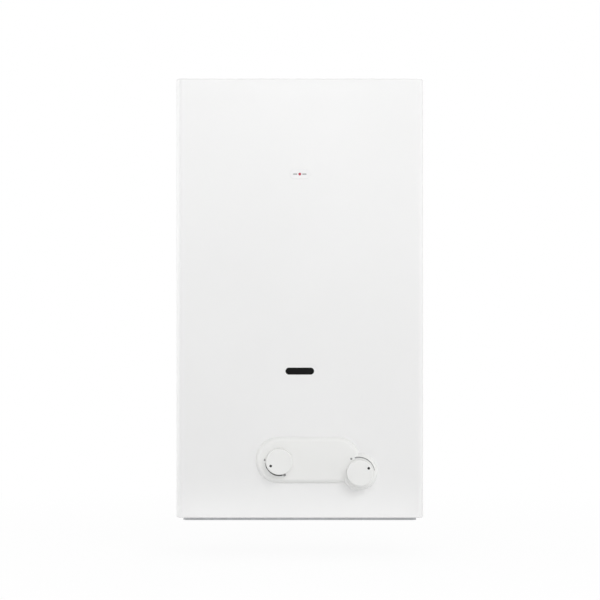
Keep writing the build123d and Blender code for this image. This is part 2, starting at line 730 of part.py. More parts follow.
def valve_bracket():
    x, z = gas_block_x[0], (-238, -202)
    arm = block((x, x + 1.5), (gas_block_y[1], wall_side_y), z)
    grip = block((x, x + 26), (gas_block_y[1], gas_block_y[1] + 1.5), z)
    foot = block((x, x + 18), (wall_side_y - 1.5, wall_side_y), z)
    return arm + grip + foot


# Water valve

def bolt_places():
    places = []
    for index in range(4):
        angle = math.radians(45 + 90 * index)
        places.append((rod_y + housing_bolt_circle * math.cos(angle), rod_z + housing_bolt_circle * math.sin(angle)))
    return places


def diaphragm_cover():
    """Left half of the diaphragm housing, with the rod guide and the two posts to the gas valve."""
    x = diaphragm_x[0]
    half = bar((x - cover_flange, rod_y, rod_z), (1, 0, 0), housing_radius, cover_flange, 16)
    half += bar((x - 14, rod_y, rod_z), (1, 0, 0), 24.5, 6.5, 16)
    half += bar((x - 20, rod_y, rod_z), (1, 0, 0), 8, 7, 12)
    half -= bar((x - 11, rod_y, rod_z), (1, 0, 0), housing_bore, 12, 16)
    half -= bar((x - 21, rod_y, rod_z), (1, 0, 0), rod_radius + hole_spare, 12, 12)
    for y in (rod_y - 21, rod_y + 21):
        half += bar((gas_block_x[1], y, rod_z), (1, 0, 0), 4.5, x - 13 - gas_block_x[1], 6)
    for y, z in bolt_places():
        half -= bar((x - 20, y, z), (1, 0, 0), 2.2, 21, 6)
    return half


def water_valve_body():
    x = diaphragm_x[1]
    core = block(water_block_x, water_block_y, water_block_z)
    body = chamfer(core.edges().filter_by(Axis.X), 6)
    body += bar((x, rod_y, rod_z), (1, 0, 0), housing_radius, 9, 16)
    body += bar((water_x, water_block_y[0] + 1, water_z), (0, -1, 0), 10, 15, 12)
    body += threaded_end(cold_x, cold_y, water_block_z[0])
    body += bar((cold_x, cold_y, water_block_z[1] - 1), (0, 0, 1), 10, 9, 12)
    body -= bar((x - 1, rod_y, rod_z), (1, 0, 0), housing_bore, 7, 16)
    body -= bar((water_x, -122, water_z), (0, -1, 0), 6.2, 38, 12)
    body -= bar((cold_x, cold_y, connection_end_z - 1), (0, 0, 1), 7.5, 60, 12)
    body -= bar((44.5, rod_y, rod_z - housing_radius - 1), (0, 0, 1), 4.4, 6, 12)
    for y, z in bolt_places():
        body -= bar((x - 1, y, z), (1, 0, 0), 2.2, 9, 6)
    return body


def water_bonnet():
    y = water_block_y[0] - 14
    bonnet = hexagon((water_x, y, water_z), (0, -1, 0), 19, 5)
    return bonnet - bar((water_x, y + 1, water_z), (0, -1, 0), spindle_radius + hole_spare, 8, 16)


def water_spindle():
    """Selector shaft with the throttle on its inner end."""
    shaft = spindle(water_x, water_z, -136)
    throttle = bar((water_x, -136, water_z), (0, 1, 0), 5.8, 8, 12)
    return shaft + throttle + bar((water_x, -128, water_z), (0, 1, 0), 3.0, 4, 12)


def diaphragm():
    return bar((diaphragm_x[0], rod_y, rod_z), (1, 0, 0), 25.8, diaphragm_x[1] - diaphragm_x[0], 16)


def push_rod():
    """Rod with the plate that the diaphragm bears on and the collar that works the switch lever."""
    plate_x, rod_end = diaphragm_x[0], -6.0
    rod = bar((rod_end, rod_y, rod_z), (1, 0, 0), rod_radius, plate_x - rod_end, 12)
    rod += bar((plate_x - 2, rod_y, rod_z), (1, 0, 0), 20, 2, 16)
    return rod + bar((11, rod_y, rod_z), (1, 0, 0), 6.5, 3, 12)


def housing_screws():
    x = diaphragm_x[0] - cover_flange
    return [screw((x, y, z), (1, 0, 0), 2.0, 15) for y, z in bolt_places()]


def drain_plug():
    z = rod_z - housing_radius + 1
    return bar((44.5, rod_y, z - 2), (0, 0, 1), 4.2, 5, 12) + hexagon((44.5, rod_y, z - 2), (0, 0, -1), 11, 6)


def microswitch():
    """Switch on the gas valve, with two cheeks that carry the lever's pin."""
    x, y, z = (-20.0, 23.0), (rod_y - 6, rod_y + 6), (gas_block_z[1], gas_block_z[1] + 14)
    body = block(x, y, z)
    for cheek_y in ((y[0], y[0] + 2.2), (y[1] - 2.2, y[1])):
        body += block((6, 14), cheek_y, (z[0] - 9, z[0]))
    body += bar((lever_x, y[0] + 1, lever_z), (0, 1, 0), pin_radius, y[1] - y[0] - 2, 12)
    for x_tab in (-14, -4):
        body += block((x_tab - 0.4, x_tab + 0.4), (y[1], y[1] + 7), (z[0] + 5, z[0] + 10))
    return body


def switch_lever():
    """Flat lever that hangs from its pin and is pushed by the rod's collar."""
    half_width_y, half_sheet, eye = 3.4, 0.7, 2.2
    y = (rod_y - half_width_y, rod_y + half_width_y)
    lever = block((lever_x - half_sheet, lever_x + half_sheet), y, (-218.3, lever_z))
    lever += block((lever_x - eye, lever_x + eye), y, (lever_z - eye, lever_z + eye))
    return lever - bar((lever_x, rod_y - 5, lever_z), (0, 1, 0), pin_radius + hole_spare, 10, 12)


# Ignition and sensing

def ignition_module():
    x, y, z = (122.0, 158.0), (-31.0, wall_side_y), (-182.0, -98.0)
    case = chamfer(block(x, y, z).edges().filter_by(Axis.Y), 3)
    case += block((126, 154), (y[0] - 3, y[0]), (-152, -128))
    for pin_x in (130, 140, 150):
        case += block((pin_x - 2.4, pin_x + 2.4), (y[0] - 7, y[0] - 3), (-146, -134))
    return case


def ignition_lead():
    x, y, end_z = -electrode_x, electrode_y, bar_bottom_z - 6
    points = [
        (130, -31, -166),
        (130, -62, -166),
        (84, -98, -168),
        (30, -112, -172),
        (-14, -138, -176),
        (x, y, -176),
        (x, y, end_z),
    ]
    return piped(points, 2.2, [14, 18, 22, 16, 8], 6)


def sensor_lead():
    points = [
        (150, -31, -112),
        (150, -62, -112),
        (146, -130, -72),
        (136, -190, -20),
        (130, -196, 60),
        (96, -198, 112),
        (44, -198, 112),
        (44, -185, 112),
    ]
    return piped(points, 1.5, [14, 16, 18, 22, 22, 10], 6, 2)


def clip_on_thermostat(x, y, z):
    """Bimetal thermostat with its fixing tabs, on a wall that faces the room."""
    body = bar((x, y, z), (0, -1, 0), 8, 7, 12) + block((x - 14, x + 14), (y - 1.2, y), (z - 5, z + 5))
    for side in (-3.5, 3.5):
        body += block((x + side - 0.4, x + side + 0.4), (y - 13, y - 7), (z - 3, z + 3))
    return body


def thermostats():
    """One on the fins against overheating, one on the hood against a blocked flue."""
    on_fins = clip_on_thermostat(44, chamber_front_y, 112)
    return [on_fins, clip_on_thermostat(-84, chamber_front_y - frame_sheet, 156)]


# Battery compartment

def battery_housing():
    inner_x = (drawer_x[0] - drawer_gap, drawer_x[1] + drawer_gap)
    inner_y = (drawer_y[0] - drawer_gap, drawer_y[1] + drawer_gap)
    low, wall = underside_z + frame_sheet, housing_wall
    outer_x = (inner_x[0] - wall, inner_x[1] + wall)
    outer_y = (inner_y[0] - wall, inner_y[1] + wall)
    box = block(outer_x, outer_y, (low, housing_roof_z)) - block(inner_x, inner_y, (low - 1, housing_roof_z - wall))
    for y in (-190, -100):
        box += block((outer_x[1], outer_x[1] + 8), (y - 7, y + 7), (low, low + 2))
    return box


def battery_drawer():
    wall, low, high = 1.5, underside_z, bottom_z + 30
    drawer = block(drawer_x, drawer_y, (low, high))
    inner_x = (drawer_x[0] + wall, drawer_x[1] - wall)
    inner_y = (drawer_y[0] + wall, drawer_y[1] - wall)
    drawer -= block(inner_x, inner_y, (low + 2, high + 1))
    contact_gap = (battery_x - 7, battery_x + 7)
    drawer -= block(contact_gap, (drawer_y[0] - 1, drawer_y[1] + 1), (battery_z - 9, high + 1))
    return drawer - block((battery_x - 11, battery_x + 11), (-194, -184), (low - 1, low + 1.2))


def batteries():
    tip = 1.4
    cells = []
    for start in (drawer_middle_y - battery_length - tip - 0.2, drawer_middle_y + 0.2):
        cell = bar((battery_x, start, battery_z), (0, 1, 0), battery_radius, battery_length, 16)
        cells.append(cell + bar((battery_x, start + battery_length, battery_z), (0, 1, 0), 4.5, tip, 8))
    return cells


def battery_contacts():
    """Leaf contacts on the housing's end walls that press on the cells."""
    x, z = (battery_x - 5, battery_x + 5), (battery_z - 7, battery_z + 8)
    ends = (drawer_y[0] - drawer_gap, drawer_y[1] + drawer_gap)
    reach = 2.2
    return [block(x, (ends[0], ends[0] + reach), z), block(x, (ends[1] - reach, ends[1]), z)]


def write(nodes):
    os.makedirs("parts", exist_ok=True)
    for name, shape in nodes.items():
        if isinstance(shape, (list, tuple)):
            shape = Compound(children=[solid for piece in shape for solid in piece.solids()])
        export_step(shape, f"parts/{name}.step")


write({
    "front_cover": front_cover(),
    "back_plate": back_plate(),
    "bottom_plate": bottom_plate(),
    "badge": badge(),
    "cover_screws": screws(),
    "sight_gasket": sight_gasket(),
    "sight_glass": sight_glass(),
    "sight_retainer": sight_retainer(),
    "fascia": fascia(),
    "gas_knob": knob(gas_x, gas_z, gas_dot_angle),
    "water_knob": knob(water_x, water_z, water_dot_angle),
    "gas_spindle": gas_spindle(),
    "water_spindle": water_spindle(),
    "draft_hood": draft_hood(),
    "hood_baffle": hood_baffle(),
    "flue_collar": flue_collar(),
    "hood_strap": hood_strap(),
    "chamber_shell": chamber_shell(),
    "fin_block": fin_block(),
    "water_coil": water_coil(),
    "cold_pipe": cold_pipe(),
    "hot_pipe": hot_pipe(),
    "outlet_bracket": outlet_bracket(),
    "exchanger_brackets": exchanger_brackets(),
    "heat_shield": heat_shield(),
    "burner_bars": burner_bars(),
    "burner_frame": burner_frame(),
    "gas_manifold": gas_manifold(),
    "manifold_brackets": manifold_brackets(),
    "injectors": injectors(),
    "gas_riser": gas_riser(),
    "spark_electrode": spark_electrode(),
    "flame_probe": flame_probe(),
    "electrode_bracket": electrode_bracket(),
    "gas_valve_body": gas_valve_body(),
    "gas_valve_cap": gas_valve_cap(),
    "gas_tap_bonnet": gas_tap_bonnet(),
    "gas_tap_plug": gas_tap_plug(),
    "main_valve_disc": main_valve_disc(),
    "valve_spring": valve_spring(),
    "rod_gland": rod_gland(),
    "gas_solenoid": gas_solenoid(),
    "valve_bracket": valve_bracket(),
    "diaphragm_cover": diaphragm_cover(),
    "water_valve_body": water_valve_body(),
    "water_bonnet": water_bonnet(),
    "diaphragm": diaphragm(),
    "push_rod": push_rod(),
    "housing_screws": housing_screws(),
    "drain_plug": drain_plug(),
    "microswitch": microswitch(),
    "switch_lever": switch_lever(),
    "ignition_module": ignition_module(),
    "ignition_lead": ignition_lead(),
    "sensor_lead": sensor_lead(),
    "thermostats": thermostats(),
    "battery_housing": battery_housing(),
    "battery_drawer": battery_drawer(),
    "batteries": batteries(),
    "battery_contacts": battery_contacts(),
})
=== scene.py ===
import json
import math

import bmesh
import bpy
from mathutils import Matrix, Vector
from mathutils.geometry import tessellate_polygon


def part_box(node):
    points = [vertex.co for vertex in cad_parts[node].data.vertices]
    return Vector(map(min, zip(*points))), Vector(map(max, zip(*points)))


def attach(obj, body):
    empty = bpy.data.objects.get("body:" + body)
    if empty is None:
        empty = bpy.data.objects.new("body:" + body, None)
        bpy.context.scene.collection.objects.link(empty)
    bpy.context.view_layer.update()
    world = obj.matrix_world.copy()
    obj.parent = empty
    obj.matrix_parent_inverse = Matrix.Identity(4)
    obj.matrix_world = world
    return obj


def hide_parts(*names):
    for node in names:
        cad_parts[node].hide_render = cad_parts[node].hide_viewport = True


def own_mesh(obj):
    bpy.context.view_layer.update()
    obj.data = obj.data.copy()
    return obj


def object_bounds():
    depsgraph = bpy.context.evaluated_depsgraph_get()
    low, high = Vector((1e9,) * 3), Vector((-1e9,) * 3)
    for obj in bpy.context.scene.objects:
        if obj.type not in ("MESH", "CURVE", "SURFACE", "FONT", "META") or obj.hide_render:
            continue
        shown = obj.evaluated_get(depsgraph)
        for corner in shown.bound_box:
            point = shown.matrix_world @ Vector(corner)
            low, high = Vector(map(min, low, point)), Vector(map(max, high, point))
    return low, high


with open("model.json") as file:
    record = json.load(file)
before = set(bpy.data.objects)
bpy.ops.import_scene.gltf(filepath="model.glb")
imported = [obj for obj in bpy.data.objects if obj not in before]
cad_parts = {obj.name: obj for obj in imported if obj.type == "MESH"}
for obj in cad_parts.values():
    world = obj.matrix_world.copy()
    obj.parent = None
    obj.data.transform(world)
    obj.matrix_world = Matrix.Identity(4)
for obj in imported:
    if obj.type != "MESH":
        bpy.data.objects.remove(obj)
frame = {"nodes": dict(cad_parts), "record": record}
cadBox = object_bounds()
record = frame["record"]
bodyOf = {node: body for body, nodes in record["behaviour"]["bodies"].items() for node in nodes}
slotOf = {part["node"]: part["material_slot"] for part in record["subparts"]}
print("frame loaded with", len(frame["nodes"]), "nodes")

# Wall-hung gas water heater. Metres, Z up, the wall is Y = 0 and the room is on the -Y side.
coverLow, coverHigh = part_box("front_cover")
frontY, backY = coverLow.y, coverHigh.y
bottomZ, topZ = coverLow.z, coverHigh.z
halfWidth = coverHigh.x
room, toWall, up, right = Vector((0, -1, 0)), Vector((0, 1, 0)), Vector((0, 0, 1)), Vector((1, 0, 0))

# Camera, set where the picture was taken from
shot = {"pixel": 0.0013424, "imageWidth": 600, "distance": 3.0, "sensor": 36.0, "x": 0.0003, "z": -0.0025}
cameraData = bpy.data.cameras.new("shotCamera")
cameraData.sensor_width = shot["sensor"]
cameraData.lens = shot["sensor"] * shot["distance"] / (shot["pixel"] * shot["imageWidth"])
camera = bpy.data.objects.new("shotCamera", cameraData)
camera.location = (shot["x"], frontY - shot["distance"], shot["z"])
camera.rotation_euler = (math.radians(90), 0, 0)
bpy.context.scene.collection.objects.link(camera)
bpy.context.scene.camera = camera
bpy.context.scene.view_settings.view_transform = "Standard"


# Outlines are closed loops of 2D points
def arc(x, y, radius, start, end, steps):
    angles = [math.radians(start + (end - start) * step / steps) for step in range(steps + 1)]
    return [Vector((x + radius * math.cos(a), y + radius * math.sin(a))) for a in angles]


def circle(x, y, radius, steps=48):
    return arc(x, y, radius, 0, 360, steps)[:-1]


def roundedBox(x, y, radius, steps=6):
    loop = arc(x[1] - radius, y[1] - radius, radius, 0, 90, steps)
    loop += arc(x[0] + radius, y[1] - radius, radius, 90, 180, steps)
    loop += arc(x[0] + radius, y[0] + radius, radius, 180, 270, steps)
    return loop + arc(x[1] - radius, y[0] + radius, radius, 270, 360, steps)


def stadium(x, y, width, height, steps=14):
    reach, radius = (width - height) / 2, height / 2
    return arc(x + reach, y, radius, -90, 90, steps) + arc(x - reach, y, radius, 90, 270, steps)


def stadiumUpright(x, z, width, height, steps=10):
    return [Vector((x + point.y, z + point.x)) for point in stadium(0, 0, height, width, steps)][::-1]


def turned(loop, anticlockwise):
    area = sum(a.cross(b) for a, b in zip(loop, loop[1:] + loop[:1]))
    return loop if (area > 0) == anticlockwise else loop[::-1]


def shifted(loop, amount):  # every corner moves to its left, which is inwards on an anticlockwise loop
    if not amount:
        return loop
    moved = []
    for index, point in enumerate(loop):
        into = (point - loop[index - 1]).normalized()
        out = (loop[(index + 1) % len(loop)] - point).normalized()
        side = Vector((-into.y - out.y, into.x + out.x)).normalized()
        moved.append(point + side * amount / max(side.dot(Vector((-into.y, into.x))), 0.4))
    return moved


def along(origin, axis, first):  # puts local (u, v, w) in the frame: w runs along axis and u along first
    w, u = Vector(axis).normalized(), Vector(first).normalized()
    v = w.cross(u)
    start = Vector(origin)
    return lambda a, b, c: start + u * a + v * b + w * c


def facingRoom(x, y, z):
    return along((x, y, z), room, right)


def facingUp(x, y, z):
    return along((x, y, z), up, right)


def roomward(y):  # the same, with x and z as they are and heights from the plane at that depth
    return facingRoom(0, y, 0)


def about(middle, half):  # the two ends of a stretch
    return middle - half, middle + half


def trimmed(ends, amount):  # a stretch made shorter at both ends
    return ends[0] + amount, ends[1] - amount


def spread(count, pitch):  # places at that pitch on both sides of zero
    return [(index - (count - 1) / 2) * pitch for index in range(count)]


upward = facingUp(0, 0, 0)  # x and y as they are, heights along z
alongX = along((0, 0, 0), right, toWall)  # local u is Y, v is Z and w is X


# Mesh parts are (corners, faces) pairs
def stack(levels, loopsAt, place):  # loops that are joined level by level and closed at both ends
    corners, faces, rings, flats = [], [], [], []
    for inset, height in levels:
        ring, flat = [], []
        for loop in loopsAt(inset):
            ring.append(range(len(corners), len(corners) + len(loop)))
            corners += [place(point.x, point.y, height) for point in loop]
            flat.append([Vector((point.x, point.y, 0)) for point in loop])
        rings.append(ring)
        flats.append(flat)
    for lower, upper in zip(rings, rings[1:]):
        for low, high in zip(lower, upper):
            for i in range(len(low)):
                j = (i + 1) % len(low)
                faces.append((low[i], low[j], high[j], high[i]))
    for ring, flat in ((rings[0], flats[0]), (rings[-1], flats[-1])):
        index = [i for loop in ring for i in loop]
        faces += [tuple(index[i] for i in triangle) for triangle in tessellate_polygon(flat)]
    return corners, faces


def edgeLevels(low, high, lowEdge, highEdge, steps):
    turns = [math.radians(90 * step / steps) for step in range(steps + 1)]
    levels = [(0, low)]
    if lowEdge:
        levels = [(lowEdge * (1 - math.sin(a)), low + lowEdge * (1 - math.cos(a))) for a in turns]
    if highEdge:
        return levels + [(highEdge * (1 - math.cos(a)), high - highEdge * (1 - math.sin(a))) for a in turns]
    return levels + [(0, high)]


def plate(outer, holes, low, high, place, edge=0.0003, steps=2, lowEdge=None):
    loops = [turned(outer, True)] + [turned(hole, False) for hole in holes]
    levels = edgeLevels(low, high, edge if lowEdge is None else lowEdge, edge, steps)
    return stack(levels, lambda inset: [shifted(loop, inset) for loop in loops], place)


def lathe(profile, place, steps=48, ring=False):  # profile is (radius, height) pairs
    corners, faces, rings = [], [], []
    for radius, height in profile:
        count = steps if radius > 1e-7 else 1
        rings.append(range(len(corners), len(corners) + count))
        for step in range(count):
            angle = math.tau * step / steps
            corners.append(place(radius * math.cos(angle), radius * math.sin(angle), height))
    pairs = list(zip(rings, rings[1:])) + ([(rings[-1], rings[0])] if ring else [])
    for low, high in pairs:
        for i in range(steps):
            j = (i + 1) % steps
            corner = [low[i % len(low)], low[j % len(low)], high[j % len(high)], high[i % len(high)]]
            kept = [c for n, c in enumerate(corner) if c not in corner[:n]]
            if len(kept) > 2:
                faces.append(tuple(kept))
    return corners, faces


def bentPath(points, bends, steps=8):  # straight runs joined by arcs
    points = [Vector(point) for point in points]
    path = [points[0]]
    for before, corner, after, bend in zip(points, points[1:], points[2:], bends):
        back, on = (before - corner).normalized(), (after - corner).normalized()
        half = back.angle(on) / 2
        centre = corner + (back + on).normalized() * bend / math.sin(half)
        start = (corner + back * bend / math.tan(half) - centre).normalized()
        end = (corner + on * bend / math.tan(half) - centre).normalized()
        path += [centre + start.slerp(end, step / steps) * bend for step in range(steps + 1)]
    return path + [points[-1]]


def sweep(path, radius, sides=20):  # round bar along a path
    corners, faces = [], []
    normal = (path[1] - path[0]).orthogonal().normalized()
    for index, point in enumerate(path):
        before, after = path[max(index - 1, 0)], path[min(index + 1, len(path) - 1)]
        heading = (after - before).normalized()
        normal = (normal - heading * normal.dot(heading)).normalized()
        side = heading.cross(normal)
        for step in range(sides):
            angle = math.tau * step / sides
            corners.append(point + (normal * math.cos(angle) + side * math.sin(angle)) * radius)
    for ring in range(len(path) - 1):
        for step in range(sides):
            a, b = ring * sides + step, ring * sides + (step + 1) % sides
            faces.append((a, b, b + sides, a + sides))
    faces.append(tuple(range(sides)))
    faces.append(tuple(range(len(corners) - sides, len(corners))))
    return corners, faces


def block(x, y, z, edge=0.0004, steps=2):
    inset = min(edge, (x[1] - x[0]) / 2.1, (y[1] - y[0]) / 2.1)
    low, high = z
    return plate(roundedBox(x, y, inset, steps), [], low, high, upward, edge, steps)


def eased(profile, edge, steps=2, closed=False):  # rounds the corners of a line of 2D points
    points = [Vector(point) for point in profile]
    made = [] if closed else [points[0]]
    if closed:
        points = [points[-1]] + points + [points[0]]
    for before, corner, after in zip(points, points[1:], points[2:]):
        back, on = before - corner, after - corner
        reach = min(edge, back.length * 0.45, on.length * 0.45)
        start, end = corner + back.normalized() * reach, corner + on.normalized() * reach
        for step in range(steps + 1):
            share = step / steps
            made.append(start.lerp(corner, share).lerp(corner.lerp(end, share), share))
    return made if closed else made + [points[-1]]


def spun(start, axis, profile, edge=0.0003, steps=48):  # turned from a (radius, height) profile
    first = Vector(axis).orthogonal()
    return lathe(eased(profile, edge), along(start, axis, first), steps)


def cone(start, axis, radius, endRadius, length, edge=0.0003, steps=48):
    return spun(start, axis, [(0, 0), (radius, 0), (endRadius, length), (0, length)], edge, steps)


def rod(start, axis, radius, length, edge=0.0003, steps=48):
    return cone(start, axis, radius, radius, length, edge, steps)


def rivet(start, axis, radius, rise):
    return spun(start, axis, [(0, rise), (radius * 0.7, rise - 0.0002), (radius, 0), (0, 0)], 0.0003, 24)


def tube(start, axis, outer, inner, length, edge=0.0003, steps=48):
    half = length / 2
    corners = [(inner, half), (inner, 0), (outer, 0), (outer, length), (inner, length), (inner, half)]
    return lathe(eased(corners, edge)[:-1], along(start, axis, Vector(axis).orthogonal()), steps, ring=True)


def bentSheet(points, sheet, bend, steps=5):  # outline of a folded sheet from its middle line
    path = bentPath(points, [bend] * (len(points) - 2), steps)
    sides = []
    for index, point in enumerate(path):
        before, after = path[max(index - 1, 0)], path[min(index + 1, len(path) - 1)]
        into, out = (point - before).normalized(), (after - point).normalized()
        heading = (into + out).normalized()
        across = Vector((-heading.y, heading.x)) * (sheet / 2)
        sides.append((point + across, point - across))
    return [left for left, _ in sides] + [low for _, low in reversed(sides)]


def threaded(place, outer, inner, low, high, pitch=0.001814, depth=0.00105, steps=56):
    rows = round((high - low) / pitch * 8)
    corners, faces = [], []
    heights = [low + (high - low) * row / rows for row in range(rows + 1)]
    levels = [(height, True) for height in heights] + [(high, False), (low, False)]
    for height, cut in levels:
        near = min(1.0, (height - low) / pitch, (high - height) / pitch)
        for step in range(steps):
            angle = math.tau * step / steps
            wave = 0.5 - 0.5 * math.cos(math.tau * height / pitch - angle)
            radius = outer - depth * (1 - near * wave) if cut else inner
            corners.append(place(radius * math.cos(angle), radius * math.sin(angle), height))
    for row in range(len(levels)):
        start, end = row * steps, (row + 1) % len(levels) * steps
        for step in range(steps):
            other = (step + 1) % steps
            faces.append((start + step, start + other, end + other, end + step))
    return corners, faces


def hexNut(place, acrossFlats, low, high, hole=0.0, steps=60):
    flat = acrossFlats / 2
    corner = flat / math.cos(math.radians(30))
    bevel = (corner - flat) * math.tan(math.radians(30))

    def loopsAt(round):
        loop = []
        for step in range(steps):
            angle = math.tau * step / steps
            side = flat / math.cos((angle + math.pi / 6) % (math.pi / 3) - math.pi / 6)
            reach = min(side, corner - round * (corner - flat * 0.97))
            loop.append(Vector((reach * math.cos(angle), reach * math.sin(angle))))
        return [loop] + ([circle(0, 0, hole, 32)[::-1]] if hole else [])

    rise = [(1, 0), (0.66, 0.33), (0.33, 0.66), (0, 1)]
    levels = [(inset, low + bevel * share) for inset, share in rise]
    levels += [(inset, high - bevel * share) for inset, share in reversed(rise)]
    return stack(levels, loopsAt, place)


def moved(part, offset):
    return [Vector(corner) + Vector(offset) for corner in part[0]], part[1]


def placed(part, place):
    return [place(*corner) for corner in part[0]], part[1]


def bothSides(*parts):  # each part and its copy on the other side of the middle plane
    return [*parts] + [([Vector((-c.x, c.y, c.z)) for c in corners], faces) for corners, faces in parts]


def asPart(mesh):
    return [corner.co.copy() for corner in mesh.vertices], [tuple(face.vertices) for face in mesh.polygons]


def buildMesh(name, parts):
    corners, faces = [], []
    for partCorners, partFaces in parts:
        start = len(corners)
        corners += partCorners
        faces += [tuple(i + start for i in face) for face in partFaces]
    mesh = bpy.data.meshes.new(name)
    mesh.from_pydata([tuple(corner) for corner in corners], [], faces)
    made = bmesh.new()
    made.from_mesh(mesh)
    bmesh.ops.recalc_face_normals(made, faces=made.faces)
    made.to_mesh(mesh)
    made.free()
    return mesh


def smooth(mesh, angle):
    mesh.polygons.foreach_set("use_smooth", [True] * len(mesh.polygons))
    mesh.set_sharp_from_angle(angle=math.radians(angle))


def makePiece(name, parts, finish, nodes=(), body=None, angle=50):
    mesh = parts if isinstance(parts, bpy.types.Mesh) else buildMesh(name, parts)
    mesh.name = name
    smooth(mesh, angle)
    mesh.materials.clear()
    mesh.materials.append(finish)
    piece = bpy.data.objects.new(name, mesh)
    bpy.context.scene.collection.objects.link(piece)
    flats = piece.modifiers.new("flats", "WEIGHTED_NORMAL")
    flats.keep_sharp = True
    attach(piece, body or bodyOf[nodes[0]])
    if nodes:
        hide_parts(*nodes)
    return piece


def standIn(name, parts, node):  # takes the place of a CAD node, in that node's finish
    return makePiece(name, parts, finishes[slotOf[node]], [node])


def detail(name, parts, slot):  # a small piece of the casing that only the scene has
    return makePiece(name, parts, finishes[slot], body="casing")


def carved(parts, cutters, joins=()):  # exact boolean: parts with joins added and cutters taken away
    def temporary(name, some):
        holder = bpy.data.objects.new(name, buildMesh(name, some))
        bpy.context.scene.collection.objects.link(holder)
        return holder

    base = temporary("carveBase", parts)
    tools = [("UNION", temporary("carveJoin", [part])) for part in joins]
    groups = [part if isinstance(part, list) else [part] for part in cutters]  # a list is cut in one go
    tools += [("DIFFERENCE", temporary("carveTool", group)) for group in groups]
    for operation, tool in tools:
        step = base.modifiers.new("step", "BOOLEAN")
        step.operation, step.object, step.solver = operation, tool, "EXACT"
    graph = bpy.context.evaluated_depsgraph_get()
    mesh = bpy.data.meshes.new_from_object(base.evaluated_get(graph))
    for holder in [base] + [tool for _, tool in tools]:
        bpy.data.objects.remove(holder)
    return mesh


def softenEdges(mesh, width, minAngle):  # rounds what a cut leaves sharp
    made = bmesh.new()
    made.from_mesh(mesh)
    bmesh.ops.remove_doubles(made, verts=made.verts, dist=1e-6)
    bmesh.ops.dissolve_limit(made, angle_limit=math.radians(0.2), verts=made.verts, edges=made.edges)
    sharp = [e for e in made.edges if e.is_manifold and e.calc_face_angle(0) > math.radians(minAngle)]
    bmesh.ops.bevel(made, geom=sharp, offset=width, segments=2, profile=0.5, affect="EDGES",
                    clamp_overlap=True)
    made.to_mesh(mesh)
    made.free()
    return mesh


# Finishes
def nodeKit(name):
    material = bpy.data.materials.new(name)
    material.use_nodes = True
    tree = material.node_tree
    shader = tree.nodes["Principled BSDF"]
    where = tree.nodes.new("ShaderNodeTexCoord").outputs["Object"]
    return material, tree, shader, where


def feed(tree, node, inputs):  # links sockets and sets plain values
    for key, value in inputs.items():
        if isinstance(value, bpy.types.NodeSocket):
            tree.links.new(value, node.inputs[key])
        else:
            node.inputs[key].default_value = value
    return node


def addNode(tree, kind, inputs, **settings):
    node = tree.nodes.new("ShaderNode" + kind)
    for key, value in settings.items():
        setattr(node, key, value)
    return feed(tree, node, inputs)


def noise(tree, where, scale, detail=3.0, stretch=None):
    if stretch:
        where = addNode(tree, "Mapping", {"Vector": where, "Scale": stretch}).outputs[0]
    return addNode(tree, "TexNoise", {"Vector": where, "Scale": scale, "Detail": detail}).outputs["Fac"]


def ramp(tree, value, stops):  # stops are (place, colour) pairs
    node = addNode(tree, "ValToRGB", {"Fac": value})
    for element, (place, color) in zip(node.color_ramp.elements, stops):
        element.position = place
        element.color = (*color, 1.0)
    return node.outputs["Color"]


def span(tree, value, low, high, fromLow=0.3, fromHigh=0.7):
    ends = {"Value": value, "From Min": fromLow, "From Max": fromHigh, "To Min": low, "To Max": high}
    return addNode(tree, "MapRange", ends).outputs["Result"]


def bump(tree, height, strength, distance):
    ends = {"Height": height, "Strength": strength, "Distance": distance}
    return addNode(tree, "Bump", ends).outputs["Normal"]


def paintLike(name, dark, light, roughness, grainScale, grainDepth, toneScale=7.0, coat=0.0, specular=0.5):
    material, tree, shader, where = nodeKit(name)
    tone, patch = noise(tree, where, toneScale, 4.0), noise(tree, where, toneScale * 6)
    feed(tree, shader, {
        "Base Color": ramp(tree, tone, [(0.3, dark), (0.7, light)]),
        "Roughness": span(tree, patch, *roughness),
        "Normal": bump(tree, noise(tree, where, grainScale, 2.0), 0.35, grainDepth),
        "Coat Weight": coat, "Coat Roughness": 0.12, "Specular IOR Level": specular})
    return material


def spangled(name, dark, light, cell, roughness):  # zinc coat with its crystal pattern
    material, tree, shader, where = nodeKit(name)
    ripple = addNode(tree, "TexNoise", {"Vector": where, "Scale": 2.5 / cell, "Detail": 2.0})
    small = {0: ripple.outputs["Color"], "Scale": cell * 0.8}
    small = addNode(tree, "VectorMath", small, operation="SCALE")
    warped = addNode(tree, "VectorMath", {0: where, 1: small.outputs[0]}, operation="ADD")
    cells = addNode(tree, "TexVoronoi", {"Vector": warped.outputs[0], "Scale": 1 / cell})
    grey = addNode(tree, "RGBToBW", {"Color": cells.outputs["Color"]}).outputs[0]
    feed(tree, shader, {
        "Base Color": ramp(tree, grey, [(0.2, dark), (0.8, light)]),
        "Roughness": span(tree, grey, *roughness),
        "Normal": bump(tree, noise(tree, where, 900), 0.12, 0.00008), "Metallic": 0.9})
    return material


def drawnMetal(name, dark, light, roughness, stretch, grainScale=160, depth=0.00005, stain=None):
    material, tree, shader, where = nodeKit(name)
    tone = ramp(tree, noise(tree, where, 18, 5.0), [(0.32, dark), (0.68, light)])
    if stain:  # heat or oxide patches over the bare metal
        patch = span(tree, noise(tree, where, 9, 2.5), 0.0, 0.8, 0.5, 0.75)
        tone = addNode(tree, "Mix", {0: patch, 6: tone, 7: (*stain, 1.0)}, data_type="RGBA").outputs[2]
    grain = noise(tree, where, grainScale, 4.0, stretch)
    feed(tree, shader, {
        "Base Color": tone, "Roughness": span(tree, grain, *roughness),
        "Normal": bump(tree, grain, 0.25, depth), "Metallic": 1.0})
    return material


